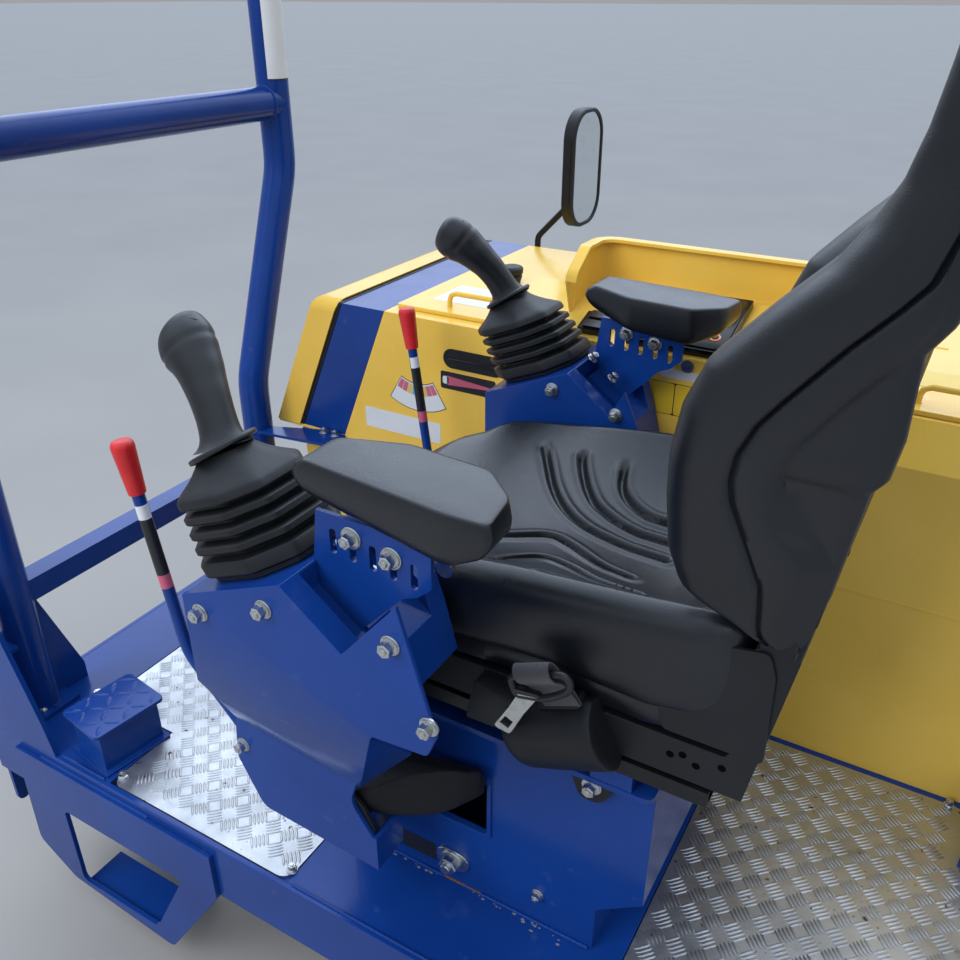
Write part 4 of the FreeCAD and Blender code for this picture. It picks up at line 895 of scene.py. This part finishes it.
def labels():
    wall_labels = (
        ("name_label", round_rect(75, 15, 4), -41, 567, white_label, 0.5),
        ("sign_label_rim", round_rect(111, 55, 5), -30, 524, black_label, 0.4),
        ("sign_label_0", round_rect(53.5, 53, 4), -57.5, 524, yellow_label, 0.7),
        ("sign_label_1", round_rect(53.5, 53, 4), -2.5, 524, yellow_label, 0.7),
        ("notice_label", round_rect(176, 42, 4), 505, 357, white_label, 0.5),
        ("throttle_label", round_rect(116, 34, 4), 356, 471, black_label, 0.5),
        ("throttle_wedge", [(-44, 9), (-44, -9), (52, -2.5), (52, 1.5)], 356, 471, pink_label, 0.8),
        ("throttle_mark", round_rect(13, 15, 4), 403, 471, white_label, 0.8),
    )
    for name, points, x, z, material, thick in wall_labels:
        label(name, points, at(x, WALL, z), Z, material, thick=thick)
    label("dash_label", round_rect(46, 16, 3), on_dash(-150, 120, 0.2), dash_up, pink_label)
    label("pedestal_label", round_rect(68, 32, 2), at(88, 190, 39), Z, black_label)
    label("hood_label", round_rect(120, 105, 6), at(425, -545, LID_TOP), -Y, white_label, "front_lid")
    label("lid_label", round_rect(52, 70, 4), at(-398, -492, REAR_LID_TOP), -Y, yellow_label, "rear_lid")


def post_label():
    """Sheet bent round the post: a dark rim under a white face."""
    bm = bmesh.new()
    post = at(838, -498, 1067)
    for material, radius, span, first, last in ((1, 30.5, 110, 116, 215), (0, 30.8, 107.5, 118, 213)):
        angles = [math.radians(first + (last - first) * k / 16) for k in range(17)]
        rays = [Vector((math.cos(a), math.sin(a), 0)) for a in angles]
        rings(bm, [[post + (ray * radius + Z * z) * MM for ray in rays]
                   + [post + (ray * 30.0 + Z * z) * MM for ray in rays[::-1]] for z in (-span, span)], material)
    finish_piece("post_label", bm, [white_label, black_label])
def fan():
    """Blank dial on the hood's side: a white sector with a row of colours along its inner edge."""
    bm = bmesh.new()
    red_tone, amber_tone, green_tone = (0.50, 0.12, 0.16), (0.62, 0.42, 0.12), (0.05, 0.38, 0.40)
    tones = (red_tone, red_tone, amber_tone, green_tone, green_tone, amber_tone, red_tone, red_tone)
    colors = [sticker("dial_sector_%d" % i, tone) for i, tone in enumerate(tones)]
    parts = [(0.3, 69, 125, -31, 31), (0.5, 70.5, 123.5, -30.2, 30.2)]
    parts += [(0.8, 73, 93, -29 + i * 7.3, -29 + i * 7.3 + 6.6) for i in range(len(tones))]
    for index, (thick, near, far, start, stop) in enumerate(parts):
        angles = [math.radians(start + (stop - start) * k / 8) for k in range(9)]
        line = [(near, a) for a in angles] + [(far, a) for a in angles[::-1]]
        rings(bm, [[at(467 - r * math.sin(a), WALL + y, 519 - r * math.cos(a)) for r, a in line]
                   for y in (-0.2, thick)], index)
    finish_piece("dial_fan", bm, [black_label, white_label] + colors)
# Instrument panel
DASH_FOOT, DASH_RUN, DASH_RISE = 597.0, -157.0, 53.0
dash_up = Vector((0, DASH_RUN, DASH_RISE)).normalized()
dash_out = Vector((0, DASH_RISE, -DASH_RUN)).normalized()


def on_dash(x, up, out):
    """Point on the instrument panel, from its foot."""
    return at(x, WALL, DASH_FOOT) + (dash_up * up + dash_out * out) * MM


def panel():
    m = framed(on_dash(-19, 82, 14), -X, dash_up)
    buttons = [m @ Matrix.Translation(Vector((x, -42, 0)) * MM) for x in (-56, -28, 0, 28, 56)]
    bm = bmesh.new()
    slab(bm, round_rect(156, 140, 16), m, -0.5, 3.2, 1.6)
    finish_piece("display_bezel", bm, gloss_black, 50)
    bm = bmesh.new()
    for cx in (-31, 31):
        slab(bm, round_rect(56, 42, 4, 3, cx, 34), m, 2.4, 3.6, 0.3)
    finish_piece("screen_panes", bm, pane)
    bm = bmesh.new()
    for cx in (-44, -16, 12, 40):
        slab(bm, round_rect(20, 16, 3, 3, cx, -6), m, 2.4, 3.9, 0.4)
    for button in buttons:
        lathe(bm, [(6.5, 2.8), (8.5, 3.0), (9, 4.2), (8, 4.8), (6.6, 4.4), (6.2, 3.4)], button)
    finish_piece("panel_lights", bm, amber)
    bm = bmesh.new()
    for button in buttons:
        lathe(bm, [(6.2, 3), (6.2, 4.6), (5, 5.4), (2, 5.6)], button, 20)
    finish_piece("panel_buttons", bm, gloss_black, 40)
    bm = bmesh.new()
    for cy in (-14, 12):
        slab(bm, round_rect(36, 20, 4, 3, 0, cy), framed(on_dash(124, 38, 12), -X, dash_up), -1, 5, 1.5)
    finish_piece("rocker_switches", bm, gloss_black, 40)


def throttle_slot():
    m = framed(at(344, WALL, 515), -X, Z)
    bm = bmesh.new()
    slab(bm, round_rect(126, 37, 18, 7), m, -0.5, 2.6, 1.2)
    finish_piece("throttle_slot_plate", bm, rubber, 45)
    bm = bmesh.new()
    slab(bm, round_rect(104, 5, 2.4, 3), m, 2.0, 3.0, 0.2)
    finish_piece("throttle_slot_lips", bm, gloss_black, 45)
# Belt
SPOOL_TILT = math.radians(24)


def by_spool(s, y, t):
    """Point by the belt's spool: s rearward along its raised axis, t off it."""
    return at(-189 - s * math.cos(SPOOL_TILT) + t * math.sin(SPOOL_TILT), y,
              397 + s * math.sin(SPOOL_TILT) + t * math.cos(SPOOL_TILT))


def retractor():
    """Rounded eight-sided case on a raised axis, its end cap, mouth and bolted foot."""
    case = ((227, 50), (207, 45), (197, 32), (191, -1), (192, -28), (205, -35), (228, -41), (244, -29), (255, -8),
            (257, 17), (246, 38))
    middle = Vector((225, 4))
    bm = bmesh.new()
    loops = []
    for s, pull in ((5.6, 14), (6.2, 4), (5.6, 1.6), (3.0, 0.4), (-4, 0), (-30, 0), (-60, 0), (-96, 1), (-106, 4),
                    (-113, 9), (-117, 16), (-119, 28)):
        loops.append([by_spool(s, q.x, q.y) for q in pulled(soft_polygon(case, 8, 3), middle, pull)])
    rings(bm, loops)
    loops = []
    for s in (-58, -56.5, -8, -6.5):
        grow = 0 if s in (-58, -6.5) else 1.5
        mouth = ((216 - grow, 46), (216 - grow, 53 + grow), (232 + grow, 54 + grow), (236 + grow, 46))
        loops.append([by_spool(s, y, t) for y, t in mouth])
    rings(bm, loops)
    foot = [(-147, 330), (-147, 296), (-158, 272), (-182, 272), (-195, 292), (-195, 330)]
    line = soft_polygon(foot, 8, 3)
    rings(bm, [[at(p.x, y, p.y) for p in line] for y in (196.5, 200.5)])
    piece = finish_piece("retractor_case", bm, shell, 42)
    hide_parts("belt_retractor")


def belt():
    loop = [(232, 48), (236, 66), (241, 84), (246, 98), (250, 108), (257, 116), (264, 113), (266, 104), (262, 96),
            (255, 90), (248, 82), (243, 70), (238, 56), (235, 48)]
    across = by_spool(1, 0, 0) - by_spool(0, 0, 0)
    bm = bmesh.new()
    pts = [by_spool(-26, p.x, p.y) for p in curve_points(loop, 5)]
    rings(bm, strip(pts, across, 0.044, 0.0016))
    finish_piece("belt_webbing_loop", bm, webbing)
    bm = bmesh.new()
    frame_line = [(-60, 84), (-58, 99), (-46, 103), (-10, 103), (6, 102), (12, 95), (9, 86), (-2, 80), (-26, 75),
                  (-48, 78), (-57, 80), (-60, 84)]
    pts = [by_spool(p.x, 259, p.y) for p in curve_points(frame_line, 4)]
    tube(bm, pts, [0.0042] * len(pts), 10)
    lugs = soft_polygon([(-60, 90), (-60, 80), (-34, 72), (-28, 80)], 4, 3)
    rings(bm, [[by_spool(p.x, y, p.y) for p in lugs] for y in (255.5, 262.5)])
    finish_piece("tongue_slot_bar", bm, stick_plastic, 50)
    bm = bmesh.new()
    plate = ((-61, 84), (-32, 77), (-46, 68), (-84, 34), (-88, 32), (-101, 40), (-102, 44), (-62, 75))
    hole = ((-83, 55), (-76, 47), (-86, 39), (-94, 47))
    ring_out, ring_in = seen_from(hole, plate), seen_from(hole, hole)
    rows = []
    for points, y in ((ring_out, 260.0), (ring_out, 262.6), (ring_in, 262.6), (ring_in, 260.0)):
        rows.append([bm.verts.new(by_spool(p.x, y, p.y)) for p in points])
    for a, b in zip(rows, rows[1:] + rows[:1]):
        for k in range(len(a)):
            n = (k + 1) % len(a)
            bm.faces.new((a[k], a[n], b[n], b[k]))
    piece = finish_piece("belt_tongue_plate", bm, zinc, 30, merge=1e-6)
    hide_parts("belt_tongue")
    bm = bmesh.new()
    m = towards(at(-130, -236, 522), Z)
    slab(bm, round_rect(34, 14, 3, 3), m, -3, 1.5, 0.8)
    finish_piece("buckle_button", bm, red)


def seen_from(hole, corners, per=24):
    """The points of a closed outline that lie every 10 degrees round the middle of the tongue's hole."""
    cx, cy = (sum(p[i] for p in hole) / len(hole) for i in (0, 1))
    outline = [Vector(p) for p in corners]
    points = [a.lerp(b, k / per) for a, b in zip(outline, outline[1:] + outline[:1]) for k in range(per)]
    angles = [math.degrees(math.atan2(p.y - cy, p.x - cx)) % 360 for p in points]
    return [points[min(range(len(points)), key=lambda k: abs(angles[k] - a))] for a in range(0, 360, 10)]
def seat_trim():
    """Plastic cover on each side of the pan, between the cushion's rear end and the backrest."""
    line = soft_polygon([(-262, 552), (-318, 562), (-341, 566), (-350, 540), (-352, 434), (-248, 434), (-240, 470)],
                        7, 3)
    middle = Vector((-316, 500))
    bm = bmesh.new()
    for side in (1, -1):
        loops = []
        for y, pull in ((213.5, 0.0), (216.0, 0.0), (217.2, 1.2)):
            loops.append([at(p.x + (middle - p).normalized().x * pull, y * side, p.y) for p in line][::-side])
        rings(bm, loops)
    finish_piece("seat_side_trim", bm, shell, 40, "seat")
    # Near-black discs laid over the trim where its holes are: painted shade in place of open holes.
    bm = bmesh.new()
    for side in (1, -1):
        for x, z in ((-260, 401), (-273, 406), (-288, 398), (-314, 408)):
            lathe(bm, [(4.4, -0.3), (4.4, 0.2), (3.6, 0.25)], towards(at(x, 214 * side, z), Y * side), 16)
    finish_piece("seat_trim_hole_shades", bm, painted_hole_shade, 40, "seat", slot="shell_plastic")


def retractor_block():
    """Small housing in front of the spool, on the rail's bracket."""
    bm = bmesh.new()
    line = soft_polygon([(-36, 418), (-96, 413), (-94, 366), (-26, 364)], 3, 3)
    steps = ((206, 0.0), (236, 0.0), (239, 1.0), (240, 3.0))
    rings(bm, [[at(p.x, y, p.y) for p in pulled(line, Vector((-62, 392)), pull)] for y, pull in steps])
    finish_piece("retractor_block", bm, shell, 40)


def hose_sleeve():
    """Soft cover slung from the console's underside to the pedestal's window."""
    # Distance to the side, then the section's corners along X and up.
    stations = (
        (186, ((-22, 194), (52, 194), (52, 210), (-22, 210))),
        (195.5, ((-26, 197), (58, 186), (60, 213), (-27, 222))),
        (204, ((-30, 204), (74, 178), (76, 232), (-31, 250))),
        (222, ((-22, 206), (104, 158), (100, 232), (-26, 262))),
        (245, ((2, 196), (128, 146), (112, 226), (4, 268))),
        (268, ((52, 186), (132, 156), (122, 214), (46, 256))),
        (286, ((92, 196), (122, 190), (118, 214), (84, 230))),
    )
    rows = [curve_points([(*corners[i], y) for y, corners in stations], 5) for i in range(4)]
    bm = bmesh.new()
    loops = []
    for k, corners in enumerate(zip(*rows)):
        y = corners[0].z
        ripple = 1.6 * math.sin(k * 1.15)
        line = soft_polygon([c.xy for c in corners], 12, 5)
        loops.append([at(p.x - ripple * 0.4, y, p.y + ripple * 0.5) for p in line])
    rings(bm, loops)
    piece = finish_piece("hose_sleeve_cover", bm, sleeve, 60)
    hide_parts("hose_sleeve")


# Mirror
def mirror_parts():
    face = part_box("mirror_head")[0].x / MM
    m = Matrix.Translation(at(face, -1007.0, 760.0)) @ Matrix((Y, Z, -X)).transposed().to_4x4()
    outer, crown, inner = (round_rect(*size, 10) for size in ((152, 246, 60), (148, 242, 58), (136, 230, 54)))
    bm = bmesh.new()
    rings(bm, [ring(m, *step) for step in ((outer, -4), (outer, 2), (crown, 4), (inner, 4.2), (inner, 1))])
    finish_piece("mirror_rim", bm, shell, 40, "mirror", "mirror_plastic")
    bm = bmesh.new()
    slab(bm, inner, m, 0.6, 1.6, 0.3)
    finish_piece("mirror_glass_plate", bm, glass, body="mirror")
# Welds
BEAD_STEP = 4.0


def bead(bm, points, radius):
    """Rippled bead along straight runs."""
    turn = random.Random(len(points) * 7 + int(points[0].x * 1000))
    fine, sizes = [], []
    for a, b in zip(points, points[1:]):
        count = max(2, int((b - a).length / MM / BEAD_STEP))
        for k in range(count):
            fine.append(a.lerp(b, k / count))
            sizes.append(radius * MM * (0.82 + 0.28 * (k % 2) + 0.12 * turn.random()))
    fine.append(points[-1])
    sizes.append(radius * MM)
    tube(bm, fine, sizes, 8)


def post_circle(y, z, normal, radius):
    """Points every 12 degrees round the right-hand or left-hand post."""
    m = towards(at(838, y, z), normal)
    angles = [math.radians(a) for a in range(0, 361, 12)]
    return [m @ (Vector((radius * math.cos(a), radius * math.sin(a), 0)) * MM) for a in angles]
def welds():
    bm = bmesh.new()
    runs = (
        ((-880, 311, 0.5), (-620, 311, 0.5)), ((-200, 311, 0.5), (215, 311, 0.5)), ((600, 311, 0.5), (700, 311, 0.5)),
        ((751, 319, -20), (500, 319, -20)), ((800, 245, 8), (876, 245, 8)), ((190, 190, 2), (40, 192, 2)),
        ((-20, 192, 2), (-180, 192, 2)),
    )
    for a, b in runs:
        bead(bm, [at(*a), at(*b)], 2.6)
    bead(bm, post_circle(218, 917, Y, 30.5), 2.6)
    bead(bm, post_circle(-470, 917, Y, 30.5), 2.6)
    bead(bm, post_circle(246, 2, Z, 31), 2.8)
    bead(bm, post_circle(-352, 2, Z, 31), 2.8)
    finish_piece("weld_beads", bm, blue, 60)
    bm = bmesh.new()
    bead(bm, [at(150, 191, 1.2), at(-60, 191, 1.2)], 1.8)
    finish_piece("rusty_seam_line", bm, rust, 60)


def paint_chips():
    """Small marks along the pedestal's foot."""
    bm = bmesh.new()
    turn = random.Random(11)
    for _ in range(30):
        x = turn.uniform(-170, 150)
        size = turn.uniform(0.8, 2.6)
        y = turn.uniform(192, 197) if x > -60 else turn.uniform(192, 206)
        count = turn.randint(6, 9)
        shape = [(size * turn.uniform(0.6, 1.3) * 1.5 * math.cos(2 * math.pi * a / count),
                  size * turn.uniform(0.5, 1.0) * math.sin(2 * math.pi * a / count)) for a in range(count)]
        slab(bm, shape, Matrix.Translation(at(x, y, 0)), -0.2, 0.25)
    finish_piece("paint_chips", bm, chipped, 60)
def hood_lines():
    """Seam of the rear side sheet, and the skirt under the latch's knob."""
    bm = bmesh.new()
    slab(bm, round_rect(505, 3, 1, 2), framed(at(-495, -319.0, 320), -X, Z), -0.2, 0.8, 0.3)
    finish_piece("rear_wall_seam", bm, yellow, 45)
    bm = bmesh.new()
    lathe(bm, [(22.2, 0), (22.8, 4), (22.8, 10), (20.2, 13), (16.2, 14.5)],
          Matrix.Translation(at(408, -664, 608.2)), 36)
    finish_piece("latch_knob_skirt", bm, shell, 40, "front_lid")
def floor():
    bpy.ops.mesh.primitive_plane_add(size=300, location=(0, 0, -0.235))
    ground = bpy.context.object
    ground.name = "floor"
    ground.data.materials.append(look("floor", (0.285, 0.275, 0.26), 0.85, [(1.2, 3, 0.3, 0.8, (0.26, 0.25, 0.24))]))
for make in (seat_cushion, backrest_cushion, armrest_pads, gaiters, joysticks, lever_grips, tread_bars, pedal_bars,
             fasteners, labels, post_label, fan, panel, throttle_slot, retractor, belt, seat_trim, retractor_block,
             hose_sleeve, mirror_parts, welds, paint_chips, hood_lines, floor):
    make()
